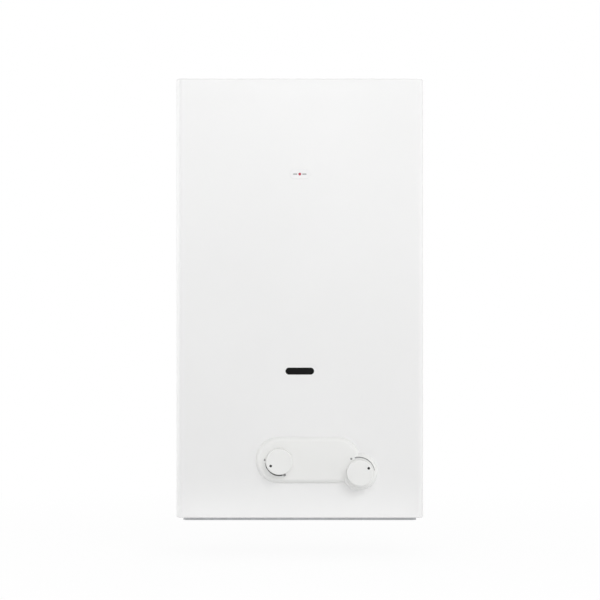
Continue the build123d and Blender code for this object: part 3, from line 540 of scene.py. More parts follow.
finishes = {
    "white_enamel": paintLike("whiteEnamel", (0.855, 0.855, 0.852), (0.872, 0.872, 0.87), (0.30, 0.38), 330,
                              0.00006, coat=0.25),
    "white_plastic": paintLike("whiteMoulding", (0.856, 0.857, 0.844), (0.869, 0.87, 0.858), (0.36, 0.46),
                               1900, 0.00003, 12),
    "badge_face": paintLike("badgeLacquer", (0.87, 0.87, 0.875), (0.885, 0.885, 0.89), (0.12, 0.2), 500,
                            0.00002, 30, coat=0.6),
    "grey_plastic": paintLike("greyMoulding", (0.075, 0.078, 0.082), (0.1, 0.103, 0.108), (0.5, 0.62), 1500,
                              0.00005, 25),
    "black_plastic": paintLike("blackMoulding", (0.012, 0.012, 0.013), (0.022, 0.022, 0.024),
                               (0.42, 0.58), 1500, 0.00005, 30),
    "black_rubber": paintLike("blackRubber", (0.012, 0.012, 0.012), (0.024, 0.024, 0.023), (0.66, 0.82),
                              900, 0.00006, 40, specular=0.3),
    "red_silicone": paintLike("redSilicone", (0.30, 0.028, 0.02), (0.38, 0.045, 0.03), (0.42, 0.55), 700,
                              0.00004, 40),
    "cell_jacket": paintLike("cellJacket", (0.02, 0.022, 0.028), (0.035, 0.037, 0.044), (0.24, 0.32), 400,
                             0.00002, 30, coat=0.4),
    "ceramic": paintLike("glazedCeramic", (0.72, 0.69, 0.62), (0.8, 0.78, 0.72), (0.14, 0.24), 500,
                         0.00003, 60, coat=0.5),
    # painted shade: the sight glass is an opaque near-black sheet that stands in for the dark inside seen
    # through it
    "sight_window": paintLike("sightGlassPaintedShade", (0.004, 0.004, 0.004), (0.008, 0.008, 0.008),
                              (0.08, 0.16), 300, 0.00001, 30, specular=0.12),
    "galvanised": spangled("galvanisedSheet", (0.40, 0.41, 0.42), (0.48, 0.49, 0.505), 0.006, (0.38, 0.5)),
    "aluminised": drawnMetal("aluminisedSheet", (0.46, 0.47, 0.475), (0.6, 0.61, 0.62), (0.34, 0.5),
                             (1, 1, 0.12), 260, 0.00004),
    "zinc_screw": drawnMetal("zincPlating", (0.5, 0.51, 0.54), (0.66, 0.66, 0.68), (0.25, 0.4), None, 900),
    "steel": drawnMetal("turnedSteel", (0.42, 0.42, 0.42), (0.55, 0.55, 0.55), (0.24, 0.4), (1, 0.15, 1),
                        700),
    "stainless": drawnMetal("stainlessSheet", (0.4, 0.39, 0.38), (0.53, 0.52, 0.51), (0.26, 0.42),
                            (1, 0.1, 1), 420, stain=(0.33, 0.26, 0.2)),
    "copper": drawnMetal("heatTintedCopper", (0.62, 0.26, 0.15), (0.78, 0.37, 0.23), (0.24, 0.42), None,
                         240, 0.000015, stain=(0.36, 0.12, 0.075)),
    "brass": drawnMetal("forgedBrass", (0.55, 0.39, 0.15), (0.68, 0.51, 0.22), (0.34, 0.5), None, 700,
                        0.00014, stain=(0.42, 0.29, 0.12)),
    "diecast": drawnMetal("dieCasting", (0.42, 0.43, 0.44), (0.54, 0.55, 0.56), (0.42, 0.58), None, 900,
                          0.00012),
}
darkPrint = paintLike("darkPrint", (0.06, 0.06, 0.06), (0.085, 0.085, 0.085), (0.4, 0.5), 900, 0.00001, 60)
greyPrint = paintLike("greyPrint", (0.26, 0.26, 0.26), (0.32, 0.32, 0.32), (0.4, 0.5), 900, 0.00001, 60)
blackDot = paintLike("blackDotPaint", (0.008, 0.008, 0.008), (0.014, 0.014, 0.014), (0.35, 0.45), 900,
                     0.00001, 60)
redDot = paintLike("redEnamelDot", (0.40, 0.02, 0.05), (0.46, 0.035, 0.07), (0.2, 0.3), 700, 0.00001, 60,
                   coat=0.5)
print("finishes made:", len(finishes) + 4)


def middleOf(node):  # middle of a node as the room sees it
    low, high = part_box(node)
    return Vector(((low.x + high.x) / 2, (low.z + high.z) / 2))


gasAt, waterAt = middleOf("gas_knob"), middleOf("water_knob")

# Front cover: one bent sheet, open at the back
coverSpec = {
    "sheet": 0.001, "bend": 0.0085, "rim": 0.0025, "lowRim": 0.0014, "flange": 0.016,
    "notchRadius": 0.06, "flueY": -0.105,
    "ventX": (0.084, 0.132), "ventY": -0.062, "ventWide": 0.004, "ventPitch": 0.014, "ventCount": 4,
    "knobHole": 0.009, "edge": 0.00022,
}
slotSpec = {"z": bottomZ + 0.197, "width": 0.0384, "height": 0.0094}


def coverForm(spec, inset, backEnd):
    x, y, bend = halfWidth - inset, frontY + inset, spec["bend"] - inset
    outline = arc(-x + bend, y + bend, bend, 180, 270, 12) + arc(x - bend, y + bend, bend, 270, 360, 12)
    outline += [Vector((x, backEnd)), Vector((-x, backEnd))]
    lowRim = max(spec["lowRim"] - inset, 0.0004)
    return plate(outline, [], bottomZ + inset, topZ - inset, upward, spec["rim"] - inset, 6, lowRim)


def coverPiece(spec):
    sheet, notch = spec["sheet"], spec["notchRadius"]
    beyond = 0.03
    outside, inside = coverForm(spec, 0, beyond), coverForm(spec, sheet, beyond * 2)
    cutters, wide = [inside], halfWidth + beyond

    def cutUp(loop, low, high):
        cutters.append(plate(loop, [], low, high, upward, 0))

    behind = [Vector((-wide, backY)), Vector((wide, backY)), Vector((wide, 0.1)), Vector((-wide, 0.1))]
    cutUp(behind, bottomZ - beyond, topZ + beyond)
    openX, openY = halfWidth - spec["flange"], frontY + spec["flange"] + sheet
    mouth = roundedBox((-openX, openX), (openY, 0.1), 0.004)
    cutUp(mouth, bottomZ - 0.002, bottomZ + 0.003)
    notchLoop = [Vector((notch, 0.1)), Vector((-notch, 0.1))] + arc(0, spec["flueY"], notch, 180, 360, 40)
    cutUp(notchLoop, topZ - 0.004, topZ + 0.002)
    start, end = spec["ventX"]
    for middle in about(0, (start + end) / 2):
        for row in range(spec["ventCount"]):
            slot = stadium(middle, spec["ventY"] - row * spec["ventPitch"], end - start, spec["ventWide"])
            cutUp(slot, topZ - 0.004, topZ + 0.002)
    openings = [stadium(0, slotSpec["z"], slotSpec["width"], slotSpec["height"], 18)]
    openings += [circle(at.x, at.y, spec["knobHole"]) for at in (gasAt, waterAt)]
    cutters += [plate(loop, [], -0.003, 0.002, roomward(frontY), 0) for loop in openings]
    mesh = softenEdges(carved([outside], cutters), spec["edge"], 50)
    return standIn("coverSheet", mesh, "front_cover")


coverPiece(coverSpec)
print("cover made")


# Control panel: a long pad with a round pad let into its right end, both with pillow edges
fasciaSpec = {"halfHeight": 0.0309, "padRadius": 0.0245, "rise": 0.008, "edge": 0.0062, "padEdge": 0.7,
              "firstTurn": 20, "rightX": 0.050, "knobHole": 0.0055}
fasciaLow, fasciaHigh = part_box("fascia")
barStart = Vector((fasciaLow.x + fasciaSpec["halfHeight"], fasciaHigh.z - fasciaSpec["halfHeight"]))
barEnd = Vector((fasciaSpec["rightX"], barStart.y))


def fasciaOutline(spec, inset):
    long, small = spec["halfHeight"] - inset, spec["padRadius"] - inset * spec["padEdge"]
    start, end = barStart, barEnd
    gap = waterAt - end
    reach = (gap.length_squared + long ** 2 - small ** 2) / (2 * gap.length)  # where the two rounds cross
    side = math.sqrt(long ** 2 - reach ** 2)
    across = Vector((-gap.y, gap.x)).normalized()
    lower = end + gap.normalized() * reach - across * side
    upper = end + gap.normalized() * reach + across * side

    def angleOf(point, middle):
        return math.degrees(math.atan2(point.y - middle.y, point.x - middle.x))

    loop = arc(start.x, start.y, long, 90, 270, 40)
    loop += arc(end.x, end.y, long, -90, angleOf(lower, end), 10)
    loop += arc(waterAt.x, waterAt.y, small, angleOf(lower, waterAt), angleOf(upper, waterAt), 56)[1:]
    return loop + arc(end.x, end.y, long, angleOf(upper, end), 90, 20)[1:]


def fasciaHeight(spec, turn):
    lost = math.sin(math.radians(spec["firstTurn"]))
    return spec["rise"] * (math.sin(turn) - lost) / (1 - lost)


def fasciaDrop(spec, point):  # how far its rounded edge lies behind its flat face
    share = min(max((point.x - barStart.x) / (barEnd.x - barStart.x), 0), 1)
    barInset = spec["halfHeight"] - (point - barStart.lerp(barEnd, share)).length
    padInset = (spec["padRadius"] - (point - waterAt).length) / spec["padEdge"]
    share = min(max(barInset, padInset, 0) / spec["edge"], 1)
    turn = math.acos(math.cos(math.radians(spec["firstTurn"])) * (1 - share))
    return spec["rise"] - fasciaHeight(spec, turn)


def fasciaPiece(spec):
    first = spec["firstTurn"]
    turns = [math.radians(first + (90 - first) * step / 12) for step in range(13)]
    levels = [(spec["edge"] * (1 - math.cos(a) / math.cos(turns[0])), fasciaHeight(spec, a)) for a in turns]
    holes = [circle(at.x, at.y, spec["knobHole"])[::-1] for at in (gasAt, waterAt)]
    body = stack(levels, lambda inset: [fasciaOutline(spec, inset)] + holes, roomward(frontY))
    return standIn("controlFascia", [body], "fascia")


fasciaPiece(fasciaSpec)


# Knobs, each with its index dot in a dimple, and the scale printed round it
knobSpec = {"edge": 0.0014, "dotRadius": 0.0018, "dotDepth": 0.0004}


def knobPiece(spec, node, at, dotOrbit, dotAngle):
    low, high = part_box(node)
    radius, height = (high.x - low.x) / 2, high.y - low.y
    place = facingRoom(at.x, high.y, at.y)
    angle = math.radians(dotAngle)
    dot = Vector((math.cos(angle), math.sin(angle))) * dotOrbit
    rim = circle(0, 0, radius, 96)
    well = circle(dot.x, dot.y, spec["dotRadius"], 32)[::-1]
    levels = [(0.0005, 0), (0, 0.0005), (0, height - spec["edge"])]
    turns = [math.radians(90 * step / 6) for step in range(1, 7)]
    levels += [(spec["edge"] * (1 - math.cos(a)), height - spec["edge"] * (1 - math.sin(a))) for a in turns]
    outer = stack(levels, lambda inset: [shifted(rim, inset)], place)
    pit = plate(well, [], height - spec["dotDepth"], height + 0.001, place, 0)
    mesh = softenEdges(carved([outer], [pit]), 0.00012, 60)
    makePiece(node + "_cap", mesh, finishes["white_plastic"], [node])
    floor = height - spec["dotDepth"]
    ink = circle(dot.x, dot.y, spec["dotRadius"] - 0.00006, 32)
    fill = plate(ink, [], floor - 0.00005, floor + 0.00022, place, 0.0001)
    makePiece(node + "_dot", [fill], blackDot, body=bodyOf[node])


knobPiece(knobSpec, "gas_knob", gasAt, 0.0126, 206)
knobPiece(knobSpec, "water_knob", waterAt, 0.0134, 28.6)

printSpec = {"thick": 0.00005, "gasRadius": 0.0193, "waterRadius": 0.0210}
fasciaTop = frontY - fasciaSpec["rise"]


def laidOn(part):  # sets print down on the rounded edge where it reaches that far
    points, faces = part
    return [point - room * fasciaDrop(fasciaSpec, Vector((point.x, point.z))) for point in points], faces


def printedBand(at, radius, start, end, widthAt, steps=48):  # a band whose width changes along its arc
    place, thick = roomward(fasciaTop), printSpec["thick"]
    section = [(-0.5, 0), (0.5, 0), (0.5, thick), (0.25, thick), (0, thick), (-0.25, thick), (-0.5, thick)]
    corners, count = [], len(section)
    for step in range(steps + 1):
        spoke = onArc(Vector((0, 0)), 1, start + (end - start) * step / steps)
        for side, rise in section:
            spot = at + spoke * (radius + side * widthAt(step / steps))
            corners.append(place(spot.x, spot.y, rise))
    faces = [tuple(range(count)), tuple(range(len(corners) - count, len(corners)))]
    for first in range(0, len(corners) - count, count):
        for i in range(count):
            j = (i + 1) % count
            faces.append((first + i, first + j, first + count + j, first + count + i))
    return laidOn((corners, faces))


def onArc(at, radius, angle):
    return at + Vector((math.cos(math.radians(angle)), math.sin(math.radians(angle)))) * radius


def printedShape(loop):
    middle, thick = sum(loop, Vector((0, 0))) / len(loop), printSpec["thick"]
    levels = [(0, 0), (0, thick), (0.3, thick), (0.6, thick), (0.9, thick)]
    return laidOn(stack(levels, lambda inset: [[point.lerp(middle, inset) for point in turned(loop, True)]],
                        roomward(fasciaTop)))


def flameLoop(at, size):  # pointed at the top, round below
    loop = arc(at.x, at.y - size * 0.12, size * 0.38, 180, 360, 12)
    return loop + [at + Vector((size * 0.24, size * 0.22)), at + Vector((0, size * 0.55)),
                   at + Vector((-size * 0.24, size * 0.22))]


def scalePrints():
    radius = printSpec["gasRadius"]
    dark = [printedBand(gasAt, radius, 217, 283, lambda share: 0.0008 + 0.0011 * min(share * 2, 1))]
    faint = [printedBand(gasAt, radius, 187, 217, lambda share: 0.0005 + 0.0006 * share)]
    faint.append(printedShape(flameLoop(onArc(gasAt, radius + 0.0001, 291), 0.0052)))
    faint.append(printedShape(flameLoop(onArc(gasAt, radius + 0.0004, 175.5), 0.0033)))
    faint.append(printedShape(circle(*onArc(gasAt, radius, 207.5), 0.0009, 20)))
    radius = printSpec["waterRadius"]
    dial = waterAt + Vector((-0.0007, -0.0011))
    faint.append(printedBand(dial, radius, 105.5, 9, lambda share: 0.0018 - 0.0010 * share))
    mark = onArc(dial, 0.0216, 118.5)
    faint.append(printedShape(circle(mark.x, mark.y, 0.0015, 24)))
    makePiece("gasScaleDark", dark, darkPrint, body="casing")
    makePiece("scalesFaint", faint, greyPrint, body="casing")


scalePrints()
print("control panel made")


# Badge: a plain pale plate with a dot between two dashes
def badgePiece():
    low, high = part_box("badge")
    x, z = (low.x + high.x) / 2, (low.z + high.z) / 2
    rise = high.y - low.y
    face = stadium(x, z, high.x - low.x, high.z - low.z, 20)
    standIn("badgePlate", [plate(face, [], 0, rise, roomward(high.y), 0.00045, 4, 0)], "badge")
    place = roomward(low.y)
    dot = plate(circle(x, z, 0.0019, 32), [], 0, 0.00008, place, 0)
    makePiece("badgeDot", [dot], redDot, body="casing")
    dashes = [plate(stadium(at, z, 0.0058, 0.0011), [], 0, 0.00006, place, 0) for at in about(x, 0.0062)]
    makePiece("badgeDashes", dashes, darkPrint, body="casing")


badgePiece()
print("badge made")


# Screws: pan head with a cross recess, and a threaded shank
def screwPart(shank, length, head=1.75, rise=0.69):
    headRadius, headRise = shank * head, shank * rise
    dome = [(0, 0), (headRadius, 0), (headRadius, -headRise * 0.45),
            (headRadius * 0.62, -headRise), (0, -headRise)]
    top = spun((0, 0, 0), up, dome, shank * 0.35, 28)
    arm, width, depth = about(0, shank * 0.95), about(0, shank * 0.2), headRise * 0.6
    recess = (-headRise - 0.001, -headRise + depth)
    cross = [block(x, y, recess, 0.00001, 1) for x, y in ((arm, width), (width, arm))]
    stem = threaded(upward, shank, shank * 0.3, 0, length, shank * 0.5, shank * 0.28, 20)
    return [asPart(carved([top], cross)), stem]


def screwsAt(spots, axis, shank, length, first=right):
    parts = screwPart(shank, length)
    return [placed(part, along(spot, axis, first)) for spot in spots for part in parts]


# Back plate, folded from one sheet, with pressed ribs
backSpec = {
    "sheet": 0.0012, "wide": halfWidth - 0.0015, "high": topZ - 0.001, "bend": 0.0018, "fold": 0.0045,
    "fixing": (0.132, 0.240, 0.0042),
    "keyTop": 0.282, "keyDrop": 0.012, "keyHead": 0.007, "keyNeck": 0.0036,
    "ribX": 0.095, "ribWide": 0.014, "ribLong": 0.380, "ribDepth": 0.0032,
    "padRadius": 0.011, "padDepth": 0.0020,
    "window": ((-0.060, 0.076), (-0.272, -0.206)), "windowCorner": 0.008,
    "lowFlange": 0.146, "topFlange": 0.1485, "sideFlange": (bottomZ + 0.018, topZ - 0.013),
}


def keyhole(spec):
    middle = spec["keyTop"] - spec["keyDrop"]
    half = math.degrees(math.asin(spec["keyNeck"] / spec["keyHead"]))
    neck = arc(0, spec["keyTop"] - spec["keyNeck"], spec["keyNeck"], 0, 180, 12)
    return arc(0, middle, spec["keyHead"], 90 + half, 450 - half, 30) + neck


def pressed(loop, holes, sheet, depth):  # a bead pressed out of the sheet on the wall plane
    levels = [(depth * 1.15, depth - sheet), (depth * 0.7, (depth - sheet) * 0.7), (depth * 0.3, 0), (0, 0)]
    levels += [(0, sheet), (depth * 0.35, sheet + (depth - sheet) * 0.62), (depth * 0.75, depth)]
    return stack(levels, lambda inset: [shifted(loop, inset)] + holes, roomward(0))


def backPlatePiece(spec):
    sheet, fold, wide, high = spec["sheet"], spec["fold"], spec["wide"], spec["high"]
    foldX, lowFold, highFold = wide - fold, bottomZ + fold, high - fold
    lowEnd, highEnd = spec["sideFlange"]
    half = [(spec["lowFlange"], lowFold), (spec["lowFlange"], bottomZ), (wide, bottomZ), (wide, lowEnd),
            (foldX, lowEnd), (foldX, highEnd), (wide, highEnd), (wide, high), (spec["topFlange"], high),
            (spec["topFlange"], highFold)]
    corners = [Vector(point) for point in half] + [Vector((-x, z)) for x, z in reversed(half)]
    fixX, fixZ, fixRadius = spec["fixing"]
    spots = [(x, z) for x in about(0, fixX) for z in about(0, fixZ)]
    padRadius = spec["padRadius"]
    ribs = [stadiumUpright(x, 0, spec["ribWide"], spec["ribLong"], 14) for x in about(0, spec["ribX"])]
    (left, farX), (lowZ, highZ) = spec["window"]
    edges = [(left, lowZ), (farX, lowZ), (farX, highZ), (left, highZ)]
    window = eased(edges, spec["windowCorner"], 6, closed=True)
    holes = [circle(x, z, padRadius, 40) for x, z in spots] + ribs + [keyhole(spec), window]
    parts = [plate(corners, holes, 0, sheet, roomward(0), 0)]
    for x, z in spots:  # shallow pads round the fixing holes
        pad, hole = circle(x, z, padRadius, 40), circle(x, z, fixRadius, 40)[::-1]
        parts.append(pressed(pad, [hole], sheet, spec["padDepth"]))
    parts += [pressed(rib, [], sheet, spec["ribDepth"]) for rib in ribs]
    middle, edgeX = -sheet / 2, wide - sheet / 2
    side = bentSheet([(wide - fold, middle), (edgeX, middle), (edgeX, -0.026)], sheet, spec["bend"])
    parts += bothSides(plate(side, [], *spec["sideFlange"], upward, 0.0002))
    topEdge, lowEdge = high - sheet / 2, bottomZ + sheet / 2
    top = bentSheet([(middle, highFold), (middle, topEdge), (-0.018, topEdge)], sheet, spec["bend"])
    parts.append(plate(top, [], -spec["topFlange"], spec["topFlange"], alongX, 0.0002))
    low = bentSheet([(middle, lowFold), (middle, lowEdge), (-0.026, lowEdge)], sheet, spec["bend"])
    parts.append(plate(low, [], -spec["lowFlange"], spec["lowFlange"], alongX, 0.0002))
    return standIn("backSheet", parts, "back_plate")


backPlatePiece(backSpec)

# Bottom plate: a shallow pan with air slots
panSpec = {
    "sheet": 0.0012, "corner": 0.007, "rimWide": 0.008, "pipeHole": 0.017,
    "pipes": [(0.112, -0.124), (-0.058, -0.124), (-0.118, -0.042)],
    "drawer": ((-0.146, -0.102), (-0.201, -0.071)),
    "slotX": (-0.038, 0.082), "slotWide": 0.005,
    "slotPitch": 0.012, "slotRows": 4, "slotStarts": (-0.1875, -0.0835),
    "drain": (0.0445, -0.125, 0.008), "screwHole": 0.00195,
}
coverScrews = [(side * (halfWidth - 0.013), y) for y in (-0.180, -0.050) for side in (-1, 1)]
footScrews = [(-0.090, -0.013), (0.090, -0.013)]
coldAt, gasInletAt, hotAt = panSpec["pipes"]


def bottomPan(spec):
    low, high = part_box("bottom_plate")
    x, y, rim = (low.x, high.x), (low.y, high.y), spec["rimWide"]
    outer = roundedBox(x, y, spec["corner"], 8)
    inner = roundedBox(trimmed(x, rim), trimmed(y, rim), 0.002, 4)
    holes = [circle(x, y, spec["pipeHole"], 48) for x, y in spec["pipes"]]
    holes.append(roundedBox(*spec["drawer"], 0.0006, 2))
    middle, length = sum(spec["slotX"]) / 2, spec["slotX"][1] - spec["slotX"][0]
    for start in spec["slotStarts"]:
        holes += [stadium(middle, start + row * spec["slotPitch"], length, spec["slotWide"], 8)
                  for row in range(spec["slotRows"])]
    holes.append(circle(*spec["drain"], 32))
    holes += [circle(x, y, spec["screwHole"], 20) for x, y in coverScrews + footScrews]
    level = low.z + spec["sheet"]
    parts = [plate(outer, holes, low.z, level, upward, 0, 3, 0.0005)]
    parts.append(plate(outer, [inner], level, high.z, upward, 0.0002, 2, 0))
    for x, y in spec["pipes"]:  # turned-up collars
        parts.append(tube((x, y, level - 0.0004), up, spec["pipeHole"] + 0.001, spec["pipeHole"],
                          high.z - level, 0.0002, 48))
    standIn("bottomPan", parts, "bottom_plate")


bottomPan(panSpec)
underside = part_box("bottom_plate")[0].z
screwSpots = [(x, y, underside) for x, y in coverScrews + footScrews]
standIn("casingScrews", screwsAt(screwSpots, up, 0.0018, 0.006), "cover_screws")
print("casing made")


# Flue: collar with a rolled bead, on a riveted flange
flueSpec = {"inner": 0.0452, "wall": 0.0012, "bead": 0.0012, "beadZ": (0.280, 0.286), "flangeCorner": 0.005,
            "rivet": 0.0022, "rivetAt": 0.0475}


def fluePiece(spec):
    low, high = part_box("flue_collar")
    y = (low.y + high.y) / 2
    inner, outer = spec["inner"], spec["inner"] + spec["wall"]
    base = low.z + 0.001
    beadLow, beadHigh = spec["beadZ"]
    bead = [(outer + spec["bead"] * math.sin(math.pi * step / 8), beadLow + (beadHigh - beadLow) * step / 8)
            for step in range(9)]
    edge = 0.0003
    mouth = [(outer, high.z - edge), (outer - edge, high.z), (inner + edge, high.z), (inner, high.z - edge)]
    profile = [(inner, base), (outer, base)] + bead + mouth
    parts = [lathe(profile, facingUp(0, y, 0), 96, ring=True)]
    flange = roundedBox((low.x, high.x), (low.y, high.y), spec["flangeCorner"], 6)
    parts.append(plate(flange, [circle(0, y, inner, 96)], low.z, base, upward, 0.0002))
    seam = (y + outer - 0.0004, y + outer + 0.0008)
    parts.append(block(about(0, 0.0035), seam, (base, beadLow - 0.002)))
    parts += [rivet((x, side, base), up, spec["rivet"], 0.0011)
              for x in about(0, spec["rivetAt"]) for side in about(y, spec["rivetAt"])]
    makePiece("flueCollar", parts, finishes["galvanised"], ["flue_collar"])


fluePiece(flueSpec)


# Draft hood: a turned frame round the spill opening, seams and rivets
hoodSpec = {"opening": ((-0.072, 0.072), (0.148, 0.166)), "frame": 0.004, "proud": 0.0010, "rivet": 0.0022,
            "low": 0.130, "frontX": (-0.086, -0.030, 0.030, 0.086), "sideY": (-0.158, -0.110, -0.062)}


def hoodTrim(spec):
    low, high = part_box("draft_hood")
    x, z = spec["opening"]
    outer = roundedBox(trimmed(x, -spec["frame"]), trimmed(z, -spec["frame"]), 0.003, 5)
    opening = roundedBox(x, z, 0.0006, 2)
    parts = [plate(outer, [opening], -0.0003, spec["proud"], roomward(low.y), 0.0004, 3)]
    x, y = (low.x, high.x), (low.y, high.y)
    lip = roundedBox(trimmed(x, -0.0008), trimmed(y, -0.0008), 0.0015, 4)
    gap = roundedBox(trimmed(x, 0.0004), trimmed(y, 0.0004), 0.0008, 4)
    parts.append(plate(lip, [gap], low.z, low.z + 0.0028, upward, 0.0005, 3))
    spots = [((at, low.y, spec["low"]), room) for at in spec["frontX"]]
    for at in spec["sideY"]:
        spots += [((high.x, at, spec["low"]), right), ((low.x, at, spec["low"]), -right)]
    parts += [rivet(spot, way, spec["rivet"], 0.0010) for spot, way in spots]
    detail("hoodTrim", parts, "aluminised")


hoodTrim(hoodSpec)


# Folded brackets and shields: middle lines in (Y, Z), and their reach along X
folded = {
    "hood_strap": {
        "line": [(-0.051, 0.2526), (-0.0018, 0.2526), (-0.0018, 0.226)],
        "x": [(-0.018, 0.018)], "sheet": 0.0012, "screws": [(0.0, 0.236)]},
    "exchanger_brackets": {
        "line": [(-0.04725, 0.124), (-0.04725, 0.10075), (-0.00195, 0.10075), (-0.00195, 0.080)],
        "x": [(0.062, 0.078), (-0.078, -0.062)], "sheet": 0.0015,
        "screws": [(0.070, 0.0875), (-0.070, 0.0875)]},
    "outlet_bracket": {
        "line": [(-0.054, -0.26125), (-0.00195, -0.26125), (-0.00195, -0.246)],
        "x": [(-0.136, -0.100)], "sheet": 0.0015, "hole": (*hotAt, 0.0072),
        "screws": [(-0.129, -0.2515), (-0.107, -0.2515)]},
    "heat_shield": {
        "line": [(-0.0012, -0.0696), (-0.0166, -0.0696), (-0.0166, 0.0756), (-0.0012, 0.0756)],
        "x": [(-0.080, 0.080)], "sheet": 0.0008, "screws": []},
}


def foldedPieces():
    for node, spec in folded.items():
        sheet = spec["sheet"]
        outline = bentSheet(spec["line"], sheet, sheet * 1.6)
        parts = [plate(outline, [], low, high, alongX, 0.0002) for low, high in spec["x"]]
        if "hole" in spec:
            x, y, radius = spec["hole"]
            drill = rod((x, y, spec["line"][0][1] - 0.003), up, radius, 0.006, 0, 40)
            parts = [asPart(carved(parts, [drill]))]
        if node == "heat_shield":  # five stiffening beads
            face = roomward(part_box(node)[0].y + 0.0012)
            parts += [plate(stadiumUpright(x, 0.003, 0.006, 0.118), [], 0, 0.0012, face, 0.0012, 5, 0)
                      for x in spread(5, 0.028)]
        standIn(node + "_folded", parts, node)
        if spec["screws"]:
            front = spec["line"][-1][0] - sheet / 2
            heads = screwsAt([(x, front, z) for x, z in spec["screws"]], toWall, 0.0019, 0.0014)
            detail(node + "_screws", heads, "zinc_screw")


foldedPieces()
print("flue and brackets made")


# Fire box and heat exchanger
hearthSpec = {"x": 0.094, "y": (-0.172, -0.048), "z": (-0.100, 0.092), "sheet": 0.001, "corner": 0.010,
              "lip": 0.003, "swage": [(0.0001, -0.0025), (-0.0001, -0.0014), (-0.0003, 0),
                                      (-0.0001, 0.0014), (0.0001, 0.0025)]}
finSpec = {"count": 41, "pitch": 0.0044, "sheet": 0.0004, "wall": 0.0015, "top": 0.132, "tubeRadius": 0.009,
           "tubeY": (-0.085, -0.135), "tubeZ": 0.110, "stubX": -0.102, "bendX": 0.133, "bend": 0.024}


def hearthPieces(spec, fins):
    x, deep, (low, high) = spec["x"], spec["y"], spec["z"]
    sheet, wide = spec["sheet"], about(0, x)
    outer = roundedBox(wide, deep, spec["corner"], 8)
    inner = roundedBox(trimmed(wide, sheet), trimmed(deep, sheet), spec["corner"] - sheet, 8)
    parts = [plate(outer, [inner], low, high, upward, 0.0002)]
    rim = roundedBox(trimmed(wide, -spec["lip"]), trimmed(deep, -spec["lip"]), 0.003, 4)
    parts.append(plate(rim, [inner], low, low + 0.0012, upward, 0.0003))
    for z in (low + 0.010, high - 0.008):  # swaged lines that stiffen the sheet
        levels = [(inset, z + rise) for inset, rise in spec["swage"]]
        parts.append(stack(levels, lambda inset: [shifted(outer, inset), inner[::-1]], upward))
    standIn("hearthShell", parts, "chamber_shell")

    wall = fins["wall"]
    case = roundedBox(wide, deep, 0.004, 5)
    hollow = roundedBox(trimmed(wide, wall), trimmed(deep, wall), 0.0025, 4)
    parts = [plate(case, [hollow], high, fins["top"], upward, 0.0003)]
    tall = trimmed((high, fins["top"]), 0.003)
    for at in spread(fins["count"], fins["pitch"]):
        parts.append(block(about(at, fins["sheet"] / 2), trimmed(deep, wall / 2), tall, 0.00005, 1))
    (rear, front), z, radius = fins["tubeY"], fins["tubeZ"], fins["tubeRadius"]
    stub, end = fins["stubX"], fins["bendX"]
    run = [(stub, rear, z), (end, rear, z), (end, front, z), (stub, front, z)]
    parts.append(sweep(bentPath(run, [fins["bend"]] * 2, 14), radius, 32))
    braze = [(radius + 0.0022, 0), (radius, 0.0022)]
    for y in fins["tubeY"]:  # brazed rings where the tubes leave the surround
        parts += [spun((way * (x - 0.0002), y, z), (way, 0, 0), braze, 0.0001, 32) for way in (1, -1)]
    standIn("finsAndTubes", parts, "fin_block")


hearthPieces(hearthSpec, finSpec)


# Pipes, with their routes in metres as (x, y, z)
pipeRadius = 0.0065
coilX = hearthSpec["x"] + pipeRadius + 0.0003
pipeRoutes = {
    "water_coil": {
        "points": [(coilX, -0.070, -0.062), (coilX, -0.1788, -0.062), (-coilX, -0.1788, -0.042),
                   (-coilX, -0.0412, -0.030), (coilX, -0.0412, -0.010), (coilX, -0.1788, 0.002),
                   (-coilX, -0.1788, 0.022), (-0.118, -0.135, 0.030), (-0.118, -0.135, 0.110),
                   (-0.102, -0.135, 0.110)],
        "bends": [0.016, 0.016, 0.016, 0.016, 0.016, 0.016, 0.012, 0.010]},
    "cold_pipe": {
        "points": [(*coldAt, -0.198), (*coldAt, -0.150), (coilX, -0.024, -0.112),
                   (coilX, -0.024, -0.062), (coilX, -0.070, -0.062)],
        "bends": [0.022, 0.018, 0.018]},
    "hot_pipe": {
        "points": [(-0.102, -0.085, 0.110), (-0.126, -0.085, 0.110), (-0.126, -0.085, -0.168),
                   (*hotAt, -0.206), (*hotAt, -0.262)],
        "bends": [0.011, 0.024, 0.022]},
}
threadSpec = {"radius": 0.01048, "low": bottomZ + 0.004, "length": 0.013, "hex": 0.025}


def threadedEnd(x, y, shoulder, bore):
    place = facingUp(x, y, 0)
    hexLow = threadSpec["low"] + threadSpec["length"]
    return [threaded(place, threadSpec["radius"], bore, threadSpec["low"], hexLow + 0.0003),
            hexNut(place, threadSpec["hex"], hexLow, shoulder, bore)]


def pipePieces():
    for node, route in pipeRoutes.items():
        path = bentPath(route["points"], route["bends"], 10)
        parts = [sweep(path, pipeRadius, 28)]
        if node == "cold_pipe":
            x, y, z = route["points"][0]
            parts.append(hexNut(facingUp(x, y, 0), 0.024, z, z + 0.009, pipeRadius - 0.0005))
            sleeve = [(0.0088, 0), (0.0074, 0.0035), (pipeRadius, 0.0035)]
            parts.append(spun((x, y, z + 0.009), up, sleeve, 0.0004, 32))
        standIn(node + "_round", parts, node)
    detail("hotOutletThread", threadedEnd(*hotAt, -0.262, 0.006), "brass")


pipePieces()
print("heat exchanger and pipes made")


# Burner
burnerSpec = {"count": 9, "pitch": 0.019, "y": (-0.166, -0.054), "low": -0.150, "top": -0.116,
              "ports": 24, "portPitch": 0.0043, "portSize": (0.0062, 0.0013), "mouthZ": (-0.1475, -0.138),
              "mouthHalf": 0.0036, "railX": 0.085, "sheet": 0.0015}
barPlaces = spread(burnerSpec["count"], burnerSpec["pitch"])


def mouthLoop(spec, x):  # the air opening in the front end of a bar
    low, high = spec["mouthZ"]
    return stadiumUpright(x, (low + high) / 2, spec["mouthHalf"] * 2, high - low)


